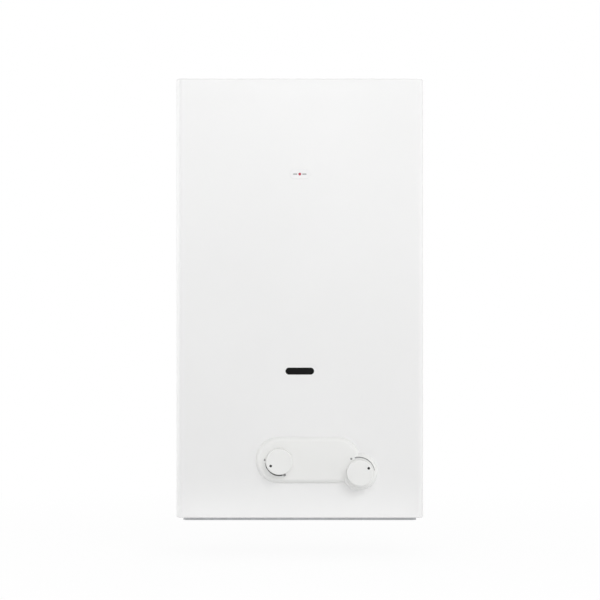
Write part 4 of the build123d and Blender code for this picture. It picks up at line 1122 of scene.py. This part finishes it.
def burnerBars(spec):
    low, top = spec["low"], spec["top"]
    half = [(0.005, low), (0.005, low + 0.013), (0.0026, low + 0.018), (0.0026, top - 0.010),
            (0.0044, top - 0.006), (0.0044, top)]
    outline = eased(half + [(-x, z) for x, z in reversed(half)], 0.0014, 4, closed=True)
    depth = spec["y"][1] - spec["y"][0]
    barBody = plate(outline, [], 0, depth, roomward(spec["y"][1]), 0.0006, 3)
    wide, deep = spec["portSize"]
    slots = []
    for at in spread(spec["ports"], spec["portPitch"]):
        y = sum(spec["y"]) / 2 + at
        slots.append(block(about(0, wide / 2), about(y, deep / 2), (top - 0.0025, top + 0.001), 0.0001, 1))
    mouth = plate(mouthLoop(spec, 0), [], -0.001, 0.013, roomward(spec["y"][0] + 0.012), 0)
    barPart = asPart(carved([barBody], [slots, mouth]))
    standIn("burnerBars", [moved(barPart, (x, 0, 0)) for x in barPlaces], "burner_bars")


burnerBars(burnerSpec)


def burnerFrame(spec):
    x, sheet = spec["railX"], spec["sheet"]
    low, high = spec["low"] - 0.002, spec["top"] - 0.004
    front, back = spec["y"]
    mouths = [mouthLoop(spec, at) for at in barPlaces]
    wall = [Vector(corner) for corner in ((-x, low), (x, low), (x, high), (-x, high))]
    parts = [plate(wall, mouths, 0, sheet, roomward(front), 0.0002),
             plate(wall, [], 0, sheet, roomward(back + sheet), 0.0002)]
    half, tab = sheet / 2, x - 0.006
    side = [(tab, front - half), (x + half, front - half), (x + half, back + half), (tab, back + half)]
    side = bentSheet(side, sheet, 0.0022)
    rear = -0.0012 - half
    arm = bentSheet([(back + sheet, low + half), (rear, low + half), (rear, low + 0.022)], sheet, 0.0022)
    parts += bothSides(plate(side, [], low, high, upward, 0.0002),
                       plate(arm, [], x - 0.012, x, alongX, 0.0002))
    standIn("burnerFrame", parts, "burner_frame")


burnerFrame(burnerSpec)
manifoldSpec = {"x": 0.086, "y": (-0.191, -0.177), "z": (-0.150, -0.136), "ear": 0.012,
                "earHole": 0.0072, "riserX": -0.052, "riserLow": -0.1935, "footHole": 0.0088}


def gasRail(spec):
    x, (front, back), (low, high) = spec["x"], spec["y"], spec["z"]
    level, middle, riserX = (low + high) / 2, (front + back) / 2, spec["riserX"]
    parts = [plate(roundedBox(spec["y"], spec["z"], 0.0022, 4), [], -x, x, alongX, 0.0005)]
    ear = roundedBox((x - 0.002, x + spec["ear"]), (low + 0.001, high - 0.001), 0.002, 4)
    hole = circle(x + spec["earHole"], level, 0.0022, 24)
    parts += bothSides(plate(ear, [hole], 0, 0.002, roomward(back), 0.0002))
    parts += [rod((at, back, level), toWall, 0.0041, 0.0006) for at in barPlaces]
    standIn("gasRail", parts, "gas_manifold")
    jets = []
    for at in barPlaces:
        jets.append(hexNut(along((at, back, level), toWall, up), 0.006, 0.0006, 0.0042))
        jets.append(cone((at, back + 0.0042, level), toWall, 0.0024, 0.0016, 0.0028, 0.0003, 24))
    standIn("gasJets", jets, "injectors")
    rear = back + 0.00075
    arm = bentSheet([(0.0975, rear), (0.08725, rear), (0.08725, -0.136)], 0.0015, 0.0022)
    standIn("railBrackets", bothSides(plate(arm, [], low, high, upward, 0.0002)), "manifold_brackets")
    spots = [(at, back - 0.002, level) for at in about(0, x + spec["earHole"])]
    detail("railScrews", screwsAt(spots, toWall, 0.002, 0.005), "zinc_screw")
    riser = [rod((riserX, middle, spec["riserLow"]), up, 0.007, low - spec["riserLow"], 0.0004, 40),
             cone((riserX, middle, low - 0.004), up, 0.0082, 0.0092, 0.004, 0.0006, 40)]
    foot = roundedBox(about(riserX, 0.012), about(middle, 0.009), 0.004, 5)
    riser.append(plate(foot, [], -0.194, -0.191, upward, 0.0004))
    standIn("gasRiser", riser, "gas_riser")
    spots = [(at, middle, -0.191) for at in about(riserX, spec["footHole"])]
    detail("riserScrews", screwsAt(spots, -up, 0.0017, 0.003), "zinc_screw")


gasRail(manifoldSpec)
print("burner made")


# Spark electrode and flame probe: ribbed ceramic with a heat-proof wire
electrodeSpec = {"x": 0.0285, "y": -0.172, "foot": -0.156, "length": 0.040, "radius": 0.0028,
                 "wire": 0.0009}


def electrodePieces(spec):
    top = burnerSpec["top"]
    bends = {
        "spark_electrode": (-spec["x"], [(0, 0, 0.016), (0.0075, 0.022, 0.009)]),
        "flame_probe": (spec["x"], [(0, 0, 0.014), (0, 0.034, 0.014)]),
    }
    for node, (x, tips) in bends.items():
        rings, foot = [(0, 0), (spec["radius"] * 0.8, 0)], spec["radius"] * 0.86
        for index in range(4):  # ribs that lengthen the creep path
            z = 0.004 + index * 0.004
            rings += [(foot, z), (spec["radius"], z + 0.0008), (spec["radius"], z + 0.0016),
                      (foot, z + 0.0024)]
        rings += [(spec["radius"], 0.022), (spec["radius"], spec["length"]), (0, spec["length"])]
        collar = [(0, 0), (0.0044, 0), (0.0044, 0.003), (0.0034, 0.004), (0, 0.004)]
        ceramic = [spun((x, spec["y"], spec["foot"]), up, rings, 0.0004, 32),
                   spun((x, spec["y"], top - 0.001), up, collar, 0.0005, 32)]
        makePiece(node + "_ceramic", ceramic, finishes["ceramic"], [node])
        points = [(x, spec["y"], top)] + [(x + a, spec["y"] + b, top + c) for a, b, c in tips]
        path = bentPath(points, [0.004], 8)
        detail(node + "_wire", [sweep(path, spec["wire"], 14)], "stainless")


electrodePieces(electrodeSpec)


# Gas valve: a die casting with its fittings
valveSpec = {"x": (-0.080, -0.004), "y": (-0.166, -0.100), "z": (-0.246, -0.194), "corner": 0.006,
             "axisY": -0.125, "axisZ": -0.222, "bore": 0.0075}


def gasValve(spec):
    (low, high), front, (base, top) = spec["x"], spec["y"][0], spec["z"]
    section, flanges = roundedBox(spec["y"], spec["z"], spec["corner"], 5), trimmed(spec["x"], 0.006)
    parts = [plate(section, [], low, high, alongX, 0.0012, 4)]
    riserX = manifoldSpec["riserX"]
    parts.append(block(about(riserX, 0.012), (-0.193, front + 0.004), (top - 0.018, top), 0.0025, 4))
    rim = roundedBox(trimmed(spec["y"], -0.0008), (base - 0.0008, top), spec["corner"] + 0.0008, 5)
    parts += [plate(rim, [], x - 0.0045, x + 0.0045, alongX, 0.0006) for x in flanges]
    rib = (base - 0.0012, base + 0.002)
    parts.append(block((-0.0152, -0.0128), trimmed(spec["y"], 0.008), rib, 0.0005))
    parts.append(cone((gasAt.x, front + 0.001, gasAt.y), room, 0.0135, 0.0128, 0.0016, 0.0004, 40))
    standIn("gasValveCasting", parts, "gas_valve_body")
    detail("gasInletThread", threadedEnd(*gasInletAt, base + 0.001, spec["bore"]), "brass")
    steps = [(0, 0), (0.0042, 0), (0.0042, 0.003), (0.0026, 0.004), (0.0026, 0.0085), (0, 0.0085)]
    nipple = spun((-0.030, front, -0.204), room, steps, 0.0005, 32)
    adjuster = rod((-0.072, front, -0.230), room, 0.005, 0.0022, 0.0005, 32)
    detail("testNippleAndAdjuster", [nipple, adjuster], "brass")
    spots = [(x, front - 0.0008, z) for x in flanges for z in trimmed(spec["z"], 0.006)]
    detail("castingScrews", screwsAt(spots, toWall, 0.0019, 0.003), "zinc_screw")


gasValve(valveSpec)
axisY, axisZ = valveSpec["axisY"], valveSpec["axisZ"]
onAxis = {
    "gas_valve_cap": {"hex": (-0.086, 0.030, 0.006, 0),
                      "turned": [(0, -0.080), (0.0128, -0.080), (0.0128, -0.050), (0, -0.050)]},
    "rod_gland": {"hex": (-0.004, 0.026, 0.004, 0.0027),
                  "turned": [(0.003, -0.0055), (0.0108, -0.0055), (0.0108, -0.004)]},
    "main_valve_disc": {"turned": [(0, -0.020), (0.010, -0.020), (0.010, -0.0185), (0.0094, -0.017),
                                   (0.0020, -0.017), (0.0020, -0.0066), (0, -0.0063)]},
    "push_rod": {"turned": [(0, -0.006), (0.0021, -0.006), (0.0025, -0.0055), (0.0025, 0.011),
                            (0.0065, 0.011), (0.0065, 0.014), (0.0025, 0.014), (0.0025, 0.036),
                            (0.020, 0.036), (0.020, 0.038), (0, 0.038)]},
}


def axisPieces():  # turned parts that share the push rod's axis
    for node, spec in onAxis.items():
        parts = [spun((0, axisY, axisZ), right, spec["turned"])]
        if "hex" in spec:
            x, flats, height, hole = spec["hex"]
            parts.insert(0, hexNut(along((x, axisY, axisZ), right, up), flats, 0, height, hole))
        standIn(node + "_turned", parts, node)


axisPieces()


def springPiece():
    start, end, radius, wire, coils = -0.0495, -0.0205, 0.0072, 0.0007, 8
    points = []
    for step in range(coils * 24 + 1):
        share = step / (coils * 24)
        angle = math.tau * coils * share
        x = start + (end - start) * share
        points.append(Vector((x, axisY + radius * math.cos(angle), axisZ + radius * math.sin(angle))))
    spring = standIn("valveSpringWire", [sweep(points, wire, 10)], "valve_spring")
    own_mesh(spring)


springPiece()
taps = {
    "gas": (gasAt, "gas_tap_bonnet", -0.166, 0.021, [(0, 0.1657), (0.004, 0.1657)]),
    "water": (waterAt, "water_bonnet", -0.158, 0.019, [(0, 0.124), (0.003, 0.124), (0.003, 0.128),
                                                       (0.0058, 0.128), (0.0058, 0.136), (0.004, 0.136)]),
}


def tapFittings():  # the nut of each tap, and its grooved spindle with a flat at the tip
    for at, bonnet, y, flats, _ in taps.values():
        standIn(bonnet + "_hex", [hexNut(facingRoom(at.x, y, at.y), flats, 0, 0.005, 0.0042)], bonnet)
    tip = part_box("gas_spindle")[0].y
    groove = [(0.004, 0.1900), (0.0036, 0.1905), (0.0036, 0.1918), (0.004, 0.1923)]
    for tap, (at, *_, foot) in taps.items():
        shaft = spun((at.x, 0, at.y), room, foot + groove + [(0.004, -tip), (0, -tip)], 0.0003, 40)
        flat = (at.y + 0.003, at.y + 0.006)
        cut = block(about(at.x, 0.006), (tip - 0.001, tip + 0.0145), flat, 0.0001, 1)
        standIn(tap + "_spindle_turned", carved([shaft], [cut]), tap + "_spindle")


tapFittings()


def solenoidPiece():
    x, y, z = -0.057, -0.124, valveSpec["z"][1]
    coil = [(0, 0), (0.0118, 0), (0.0118, 0.0022), (0.0106, 0.0026), (0.0106, 0.0206), (0.0118, 0.021),
            (0.0118, 0.024), (0, 0.024)]
    plug = block(about(x, 0.006), (y + 0.009, y + 0.017), (z + 0.006, z + 0.016), 0.0008, 3)
    standIn("solenoidCoil", [spun((x, y, z), up, coil, 0.0005), plug], "gas_solenoid")
    core = [(0, 0), (0.005, 0), (0.005, 0.0035), (0.004, 0.0053), (0, 0.0055)]
    detail("solenoidCore", [spun((x, y, z + 0.0235), up, core, 0.0004, 32)], "steel")


solenoidPiece()


# Water valve: two halves of a diaphragm housing, the right one forged in one with the body
waterSpec = {"x": (0.048, 0.128), "y": (-0.144, -0.104), "z": (-0.248, -0.206), "housing": 0.033,
             "bolts": 0.0285}
boltAngles = (45, 135, 225, 315)
boltSpots = [onArc(Vector((axisY, axisZ)), waterSpec["bolts"], angle) for angle in boltAngles]


def lobedFlange(x, thick, edge):  # round flange with an ear at each bolt
    loop = []
    for step in range(120):
        angle = math.tau * step / 120
        near = max(math.cos(angle - math.radians(a)) for a in boltAngles)
        reach = waterSpec["housing"] - 0.0016 + 0.0016 * max(0.0, (near - 0.96) / 0.04) ** 0.5
        loop.append(Vector((reach * math.cos(angle), reach * math.sin(angle))))
    return plate(loop, [], 0, thick, along((x, axisY, axisZ), right, toWall), edge, 3)


def waterValve(spec):
    (low, high), front, (base, top) = spec["x"], spec["y"][0], spec["z"]
    section = roundedBox(spec["y"], spec["z"], 0.008, 6)
    parts = [plate(section, [], low, high, alongX, 0.0025, 5), lobedFlange(0.040, 0.009, 0.0008)]
    parts.append(cone((0.048, axisY, axisZ), right, 0.026, 0.020, 0.008, 0.002))
    parts.append(rod((waterAt.x, front + 0.002, waterAt.y), room, 0.010, 0.016, 0.0008, 40))
    shoulder = [(0, 0), (0.0115, 0), (0.010, 0.004), (0.010, 0.010), (0, 0.010)]
    parts.append(spun((*coldAt, top - 0.002), up, shoulder, 0.0008, 40))
    parts.append(rod((0.096, front, -0.220), room, 0.006, 0.004, 0.0006, 32))
    parts += threadedEnd(*coldAt, base + 0.001, valveSpec["bore"])
    standIn("waterValveForging", parts, "water_valve_body")
    bell = [(0.0029, 0.018), (0.008, 0.018), (0.0084, 0.024), (0.0225, 0.024), (0.0245, 0.0305),
            (0.0029, 0.0305)]
    cover = [lobedFlange(0.030, 0.008, 0.0008), spun((0, axisY, axisZ), right, bell, 0.0012, 56)]
    for y in about(axisY, 0.021):
        cover.append(rod((valveSpec["x"][1], y, axisZ), right, 0.0045, 0.0285, 0.0004, 32))
    standIn("diaphragmHousing", cover, "diaphragm_cover")
    standIn("diaphragmDisc", [rod((0.038, axisY, axisZ), right, 0.0258, 0.002, 0.0004, 64)], "diaphragm")
    standIn("housingScrews", screwsAt([(0.030, y, z) for y, z in boltSpots], right, 0.002, 0.015, up),
            "housing_screws")
    x, y, _ = panSpec["drain"]
    plug = [hexNut(facingUp(x, y, 0), 0.011, -0.262, -0.256),
            rod((x, y, -0.256), up, 0.0042, 0.005, 0.0003, 32)]
    standIn("drainPlugHex", plug, "drain_plug")


waterValve(waterSpec)
print("valves made")


# Switch, ignition box, thermostats and their leads
def switchPieces():
    y0, y1, z0 = axisY - 0.006, axisY + 0.006, valveSpec["z"][1]
    body = [block((-0.020, 0.023), (y0, y1), (z0, z0 + 0.014), 0.0008, 3)]
    for y in ((y0, y0 + 0.0022), (y1 - 0.0022, y1)):
        body.append(block((0.006, 0.014), y, (z0 - 0.009, z0 + 0.001), 0.0006))
    for x in (-0.013, 0.017):  # moulded rings round its two fixing holes
        body.append(tube((x, y0 - 0.0004, z0 + 0.0035), toWall, 0.0026, 0.0014, 0.0006, 0.0001, 24))
    standIn("switchCase", body, "microswitch")
    metal = [rod((0.0099, y0 + 0.001, -0.200), toWall, 0.001, 0.010, 0.0002, 20)]
    for x in (-0.014, -0.004):
        metal.append(block(about(x, 0.0004), (y1 - 0.001, y1 + 0.007), (z0 + 0.005, z0 + 0.010), 0.0001, 1))
    detail("switchTabsAndPin", metal, "brass")

    low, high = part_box("switch_lever")
    x, z = (low.x + high.x) / 2, -0.200
    strip = block(about(x, 0.0007), (low.y, high.y), (low.z, z - 0.0015), 0.0003)
    eye = tube((x, low.y, z), toWall, 0.0022, 0.0012, high.y - low.y, 0.0002, 32)
    standIn("leverBlade", [strip, eye], "switch_lever")


def ignitionPiece():
    back = -0.0012

    def raised(x, z, corner, steps, low, high, edge, edgeSteps=2):
        return plate(roundedBox(x, z, corner, steps), [], low, high, roomward(back), edge, edgeSteps)

    case = [raised((0.122, 0.158), (-0.182, -0.098), 0.003, 5, 0, 0.0298, 0.0012, 4)]
    case.append(raised((0.126, 0.154), (-0.152, -0.128), 0.0015, 3, 0.029, 0.0328, 0.0006))
    for x in (0.130, 0.140, 0.150):
        case.append(raised(about(x, 0.0024), (-0.146, -0.134), 0.0006, 2, 0.032, 0.0368, 0.0004))
    for z in (-0.176, -0.170, -0.110, -0.104):  # cooling ribs
        case.append(raised((0.127, 0.153), about(z, 0.0012), 0.0006, 2, 0.029, 0.0308, 0.0004))
    standIn("ignitionCase", case, "ignition_module")


thermostatSpec = {"spots": [(0.044, -0.172, 0.112), (-0.084, -0.1732, 0.156)],
                  "cup": [(0, 0), (0.008, 0), (0.008, 0.0030), (0.0076, 0.0034), (0, 0.0034)],
                  "base": [(0, 0), (0.0072, 0), (0.0072, 0.0036), (0, 0.0038)]}


def thermostatPieces(spec):
    for index, (x, y, z) in enumerate(spec["spots"]):
        holes = [circle(at, z, 0.0016, 20) for at in about(x, 0.0112)]
        strap = plate(stadium(x, z, 0.028, 0.010, 12), holes, 0, 0.0012, roomward(y), 0.0003)
        cup = [strap, spun((x, y, z), room, spec["cup"], 0.0004, 40)]
        base = spun((x, y - 0.0032, z), room, spec["base"], 0.0006, 40)
        tabs = [block(about(at, 0.0004), (y - 0.013, y - 0.006), about(z, 0.003), 0.0002, 1)
                for at in about(x, 0.0035)]
        standIn(f"thermostatCup{index}", cup, "thermostats")
        detail(f"thermostatBase{index}", [base], "black_plastic")
        detail(f"thermostatTabs{index}", tabs, "brass")


switchPieces()
ignitionPiece()
thermostatPieces(thermostatSpec)
leadRoutes = {
    "ignition_lead": {
        "points": [(0.130, -0.031, -0.166), (0.130, -0.062, -0.166), (0.084, -0.098, -0.168),
                   (0.030, -0.112, -0.172), (-0.014, -0.138, -0.176), (-0.0285, -0.172, -0.176),
                   (-0.0285, -0.172, -0.156)],
        "bends": [0.014, 0.018, 0.022, 0.016, 0.008], "radius": 0.0022, "boot": 0.0036},
    "sensor_lead": {
        "points": [(0.150, -0.031, -0.112), (0.150, -0.062, -0.112), (0.146, -0.130, -0.072),
                   (0.136, -0.190, -0.020), (0.130, -0.196, 0.060), (0.096, -0.198, 0.112),
                   (0.044, -0.198, 0.112), (0.044, -0.185, 0.112)],
        "bends": [0.014, 0.016, 0.018, 0.022, 0.022, 0.010], "radius": 0.0015, "boot": 0.0024},
}


def leadPieces():
    for node, route in leadRoutes.items():
        path, radius, wide = bentPath(route["points"], route["bends"], 8), route["radius"], route["boot"]
        parts = [sweep(path, radius, 16)]
        boot = [(0, 0), (wide, 0), (wide, 0.007), (radius * 1.15, 0.010), (0, 0.010)]
        for end, inner in ((path[0], path[1]), (path[-1], path[-2])):
            parts.append(spun(end, (inner - end).normalized(), boot, 0.0008, 24))
        standIn(node + "_lead", parts, node)


leadPieces()


# Battery compartment: ribbed case, pull-down drawer, leaf contacts and two cells
caseSpec = {"wall": 0.002, "corner": 0.0025, "lug": 0.008, "lugY": (-0.190, -0.100), "lugHalf": 0.007,
            "ribs": (-0.180, -0.158, -0.136, -0.114, -0.092), "frontRibs": (-0.136, -0.124, -0.112),
            "rib": 0.0008, "ribHalf": 0.0008, "screwHole": 0.0017}
traySpec = {"wall": 0.0015, "floor": 0.002, "corner": 0.002, "gap": 0.007, "grip": (-0.194, -0.184),
            "gripHalf": 0.011, "gripDeep": 0.0012, "line": 0.003,
            "saddles": (-0.185, -0.149, -0.123, -0.087)}
cellSpec = {"x": -0.124, "z": underside + 0.0187, "radius": 0.0164, "length": 0.060, "tip": 0.0014,
            "starts": (-0.1976, -0.1358)}


def batteryCase(spec):
    low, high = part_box("battery_housing")
    wall, side, rib, wide = spec["wall"], high.x - spec["lug"], spec["rib"], spec["ribHalf"]
    x, y = (low.x, side), (low.y, high.y)
    outer = plate(roundedBox(x, y, spec["corner"], 5), [], low.z, high.z, upward, 0.0012, 4, 0.0002)
    hollow = block(trimmed(x, wall), trimmed(y, wall), (low.z - 0.002, high.z - wall))
    parts = [asPart(carved([outer], [hollow]))]
    above, upright = (high.z - 0.001, high.z + rib), (low.z + 0.006, high.z - 0.004)
    for at in spec["ribs"]:
        parts.append(block(trimmed(x, 0.005), about(at, wide), above, 0.0003))
        parts.append(block((side - 0.001, side + rib), about(at, wide), upright, 0.0003))
    for at in spec["frontRibs"]:
        parts.append(block(about(at, wide), (low.y - rib, low.y + 0.001), upright, 0.0003))
    spots = []
    for at in spec["lugY"]:
        half, middle = spec["lugHalf"], side + 0.0042
        foot = roundedBox((side - 0.001, high.x), about(at, half), 0.002, 4)
        hole = circle(middle, at, spec["screwHole"], 24)
        parts.append(plate(foot, [hole], low.z, low.z + 0.002, upward, 0.0003))
        spots.append((middle, at, low.z + 0.002))
        for end in (at - half, at + half - 0.0012):  # gussets
            root, base = side - 0.0005, low.z + 0.0015
            corner = [Vector((root, base)), Vector((high.x - 0.001, base)), Vector((root, low.z + 0.010))]
            parts.append(plate(corner, [], -end - 0.0012, -end, roomward(0), 0.0002, 1))
    standIn("batteryCase", parts, "battery_housing")
    detail("batteryCaseScrews", screwsAt(spots, -up, spec["screwHole"], 0.003), "zinc_screw")


def batteryTray(spec, cell):
    low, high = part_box("battery_drawer")
    wall, half, gap = spec["wall"], spec["gripHalf"], spec["gap"]
    x, y = (low.x, high.x), (low.y, high.y)
    outer = plate(roundedBox(x, y, spec["corner"], 5), [], low.z, high.z, upward, 0.0004, 2, 0.0006)
    hollow = block(trimmed(x, wall), trimmed(y, wall), (low.z + spec["floor"], high.z + 0.002))
    notch = (cell["z"] - 0.009, high.z + 0.002)
    gaps = [block(about(cell["x"], gap), about(end, 0.003), notch) for end in y]
    grip = block(about(cell["x"], half), spec["grip"], (low.z - 0.001, low.z + spec["gripDeep"]), 0.0003)
    rims = [roundedBox(trimmed(x, inset), trimmed(y, inset), 0.0015, 4)
            for inset in (spec["line"], spec["line"] + 0.0008)]
    groove = plate(rims[0], [rims[1]], low.z - 0.001, low.z + 0.0004, upward, 0.00005, 1)
    parts = [asPart(carved([outer], [hollow, gaps, [grip, groove]]))]
    for at in (-0.1915, -0.189, -0.1865):  # finger ridges in the grip
        ridge = trimmed(about(cell["x"], half), 0.002)
        parts.append(block(ridge, about(at, 0.0004), (low.z + 0.0001, low.z + 0.0016), 0.0002))
    for at in spec["saddles"]:
        for ends in ((x[0] + 0.001, x[0] + wall + 0.0028), (x[1] - wall - 0.0028, x[1] - 0.001)):
            parts.append(block(ends, about(at, 0.0007), (low.z + 0.0015, low.z + 0.012), 0.0002))
    snap = [(0, 0), (0.0018, 0), (0.0012, 0.0004), (0, 0.0005)]
    for at in (-0.172, -0.100):
        parts.append(spun((x[1] - 0.0002, at, high.z - 0.004), right, snap, 0.0001, 20))
        parts.append(spun((x[0] + 0.0002, at, high.z - 0.004), -right, snap, 0.0001, 20))
    standIn("batteryTray", parts, "battery_drawer")


def contactLeaves():
    low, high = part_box("battery_contacts")
    middle, sheet = (low.z + high.z) / 2, 0.0005
    leaves = []
    for wall, way in ((low.y, 1), (high.y, -1)):
        flat, bulge = wall + way * sheet / 2, wall + way * (0.0022 - sheet / 2)
        line = [(flat, low.z), (flat, low.z + 0.003), (bulge, middle), (flat, high.z - 0.003),
                (flat, high.z)]
        leaves.append(plate(bentSheet(line, sheet, 0.0015), [], low.x, high.x, alongX, 0.0001, 1))
        dimple = [(0, 0), (0.002, 0), (0.0014, 0.0003), (0, 0.0004)]
        leaves.append(spun((cellSpec["x"], bulge, middle), (0, way, 0), dimple, 0.0001, 20))
    standIn("contactLeaves", leaves, "battery_contacts")


def batteryCells(spec):
    jackets, caps = [], []
    for start in spec["starts"]:
        at, r, long = (spec["x"], start, spec["z"]), spec["radius"], spec["length"]
        wrap = [(r * 0.86, 0.0004), (r, 0.0004), (r, long - 0.0004), (r * 0.84, long - 0.0004)]
        base = [(0, 0.0002), (r * 0.55, 0), (r * 0.88, 0), (r * 0.9, 0.0008), (r * 0.9, 0.002)]
        crown = [(r * 0.88, long - 0.002), (r * 0.86, long - 0.0006), (r * 0.5, long), (0.0047, long),
                 (0.0045, long + spec["tip"]), (0, long + spec["tip"])]
        jackets.append(spun(at, toWall, wrap, 0.0009, 56))
        caps += [spun(at, toWall, base, 0.0004, 56), spun(at, toWall, crown, 0.0005, 56)]
    standIn("cellJackets", jackets, "batteries")
    makePiece("cellCaps", caps, finishes["steel"], body=bodyOf["batteries"])


batteryCase(caseSpec)
batteryTray(traySpec, cellSpec)
contactLeaves()
batteryCells(cellSpec)
print("small parts made")


# What stays as the frame has it gets its finish and slightly rounded edges
def dressNode(name):
    node = frame["nodes"][name]
    node.data.materials.clear()
    node.data.materials.append(finishes[slotOf[name]])
    low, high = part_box(name)
    thin = min(high - low)
    weld = node.modifiers.new("weld", "WELD")
    weld.merge_threshold = 0.000002
    edge = node.modifiers.new("edge", "BEVEL")
    edge.width = min(0.0003, thin * 0.2)
    edge.segments = 2
    edge.limit_method = "ANGLE"
    edge.angle_limit = math.radians(35)
    edge.harden_normals = True


shownNodes = [name for name, node in frame["nodes"].items() if not node.hide_render]
for nodeName in shownNodes:
    dressNode(nodeName)
print("frame nodes dressed:", len(shownNodes))


# Floor, lamps and surroundings
stageSpec = {"floorHalf": 4.0, "drop": 0.052, "whiteShare": 0.94, "fade": (0.35, 1.0), "ambient": 0.54,
             "sideLight": 1.0}


def seenRays(tree):  # 1 for camera, glossy and transmission rays, and 0 for the rest
    rays = tree.nodes.new("ShaderNodeLightPath").outputs
    first = {0: rays["Is Camera Ray"], 1: rays["Is Glossy Ray"]}
    first = addNode(tree, "Math", first, operation="MAXIMUM").outputs[0]
    both = {0: first, 1: rays["Is Transmission Ray"]}
    return addNode(tree, "Math", both, operation="MAXIMUM").outputs[0]


def floorPiece(spec):
    half, z = spec["floorHalf"], cadBox[0].z - spec["drop"]  # the drawer opens downwards
    mesh = bpy.data.meshes.new("floor")
    corners = [(-half, -half, z), (half, -half, z), (half, half, z), (-half, half, z)]
    mesh.from_pydata(corners, [], [(0, 1, 2, 3)])
    material, tree, shader, where = nodeKit("paleFloor")
    feed(tree, shader, {"Base Color": (0.9, 0.9, 0.9, 1), "Roughness": 0.9, "Specular IOR Level": 0.0})
    white = addNode(tree, "Emission", {"Color": (1, 1, 1, 1), "Strength": 1.0})
    distance = addNode(tree, "VectorMath", {0: where}, operation="LENGTH").outputs["Value"]
    fade = span(tree, distance, spec["whiteShare"], 1.0, *spec["fade"])
    share = addNode(tree, "Math", {0: seenRays(tree), 1: fade}, operation="MULTIPLY").outputs[0]
    mixed = addNode(tree, "MixShader", {0: share, 1: shader.outputs[0], 2: white.outputs[0]})
    tree.links.new(mixed.outputs[0], tree.nodes["Material Output"].inputs["Surface"])
    mesh.materials.append(material)
    floor = bpy.data.objects.new("floor", mesh)
    bpy.context.scene.collection.objects.link(floor)


def surroundings(spec):
    world = bpy.data.worlds.new("studio")
    bpy.context.scene.world = world
    world.use_nodes = True
    tree = world.node_tree
    tree.nodes.clear()
    where = tree.nodes.new("ShaderNodeTexCoord").outputs["Generated"]
    way = addNode(tree, "SeparateXYZ", {0: where}).outputs["X"]
    aside = addNode(tree, "Math", {0: way}, operation="ABSOLUTE").outputs[0]
    glow = span(tree, aside, spec["ambient"], spec["sideLight"], 0.7, 0.95)
    dim = addNode(tree, "Background", {"Color": (1, 1, 1, 1), "Strength": glow})
    white = addNode(tree, "Background", {"Color": (1, 1, 1, 1), "Strength": 1.0})
    mixed = addNode(tree, "MixShader", {0: seenRays(tree), 1: dim.outputs[0], 2: white.outputs[0]})
    addNode(tree, "OutputWorld", {"Surface": mixed.outputs[0]})


lamps = {
    "keyLamp": {"at": (1.1, -2.9, 1.45), "size": 1.4, "power": 24.6},
    "highLamp": {"at": (-0.06, -1.6, 0.55), "aim": (-0.06, -0.2, 0.55), "size": 0.3, "wide": 0.5,
                 "power": 1.04, "spread": 100},
    "leftLamp": {"at": (-1.9, -0.10, 0.1), "size": 1.3, "power": 9},
    "rightLamp": {"at": (1.9, -0.60, 0.1), "size": 1.3, "power": 3.2},
    "backLamp": {"at": (0.4, 2.3, 1.3), "size": 1.4, "power": 14},
    "floorGlow": {"at": (0.0, -0.255, -0.2915), "aim": (0, 0, -0.2915), "size": 0.006, "wide": 0.34,
                  "power": 0.0075},
}


def lampObjects():
    for name, lamp in lamps.items():
        data = bpy.data.lights.new(name, "AREA")
        data.size, data.energy = lamp["size"], lamp["power"]
        if "wide" in lamp:
            data.shape, data.size, data.size_y = "RECTANGLE", lamp["wide"], lamp["size"]
        data.spread = math.radians(lamp.get("spread", 180))
        source = bpy.data.objects.new(name, data)
        source.location = lamp["at"]
        ray = Vector(lamp.get("aim", (0, 0, 0))) - Vector(lamp["at"])
        source.rotation_euler = ray.to_track_quat("-Z", "Y").to_euler()
        source.visible_camera = False
        source.visible_glossy = "aim" not in lamp  # the aimed ones leave no reflection
        bpy.context.scene.collection.objects.link(source)


floorPiece(stageSpec)
surroundings(stageSpec)
lampObjects()
print("stage made")
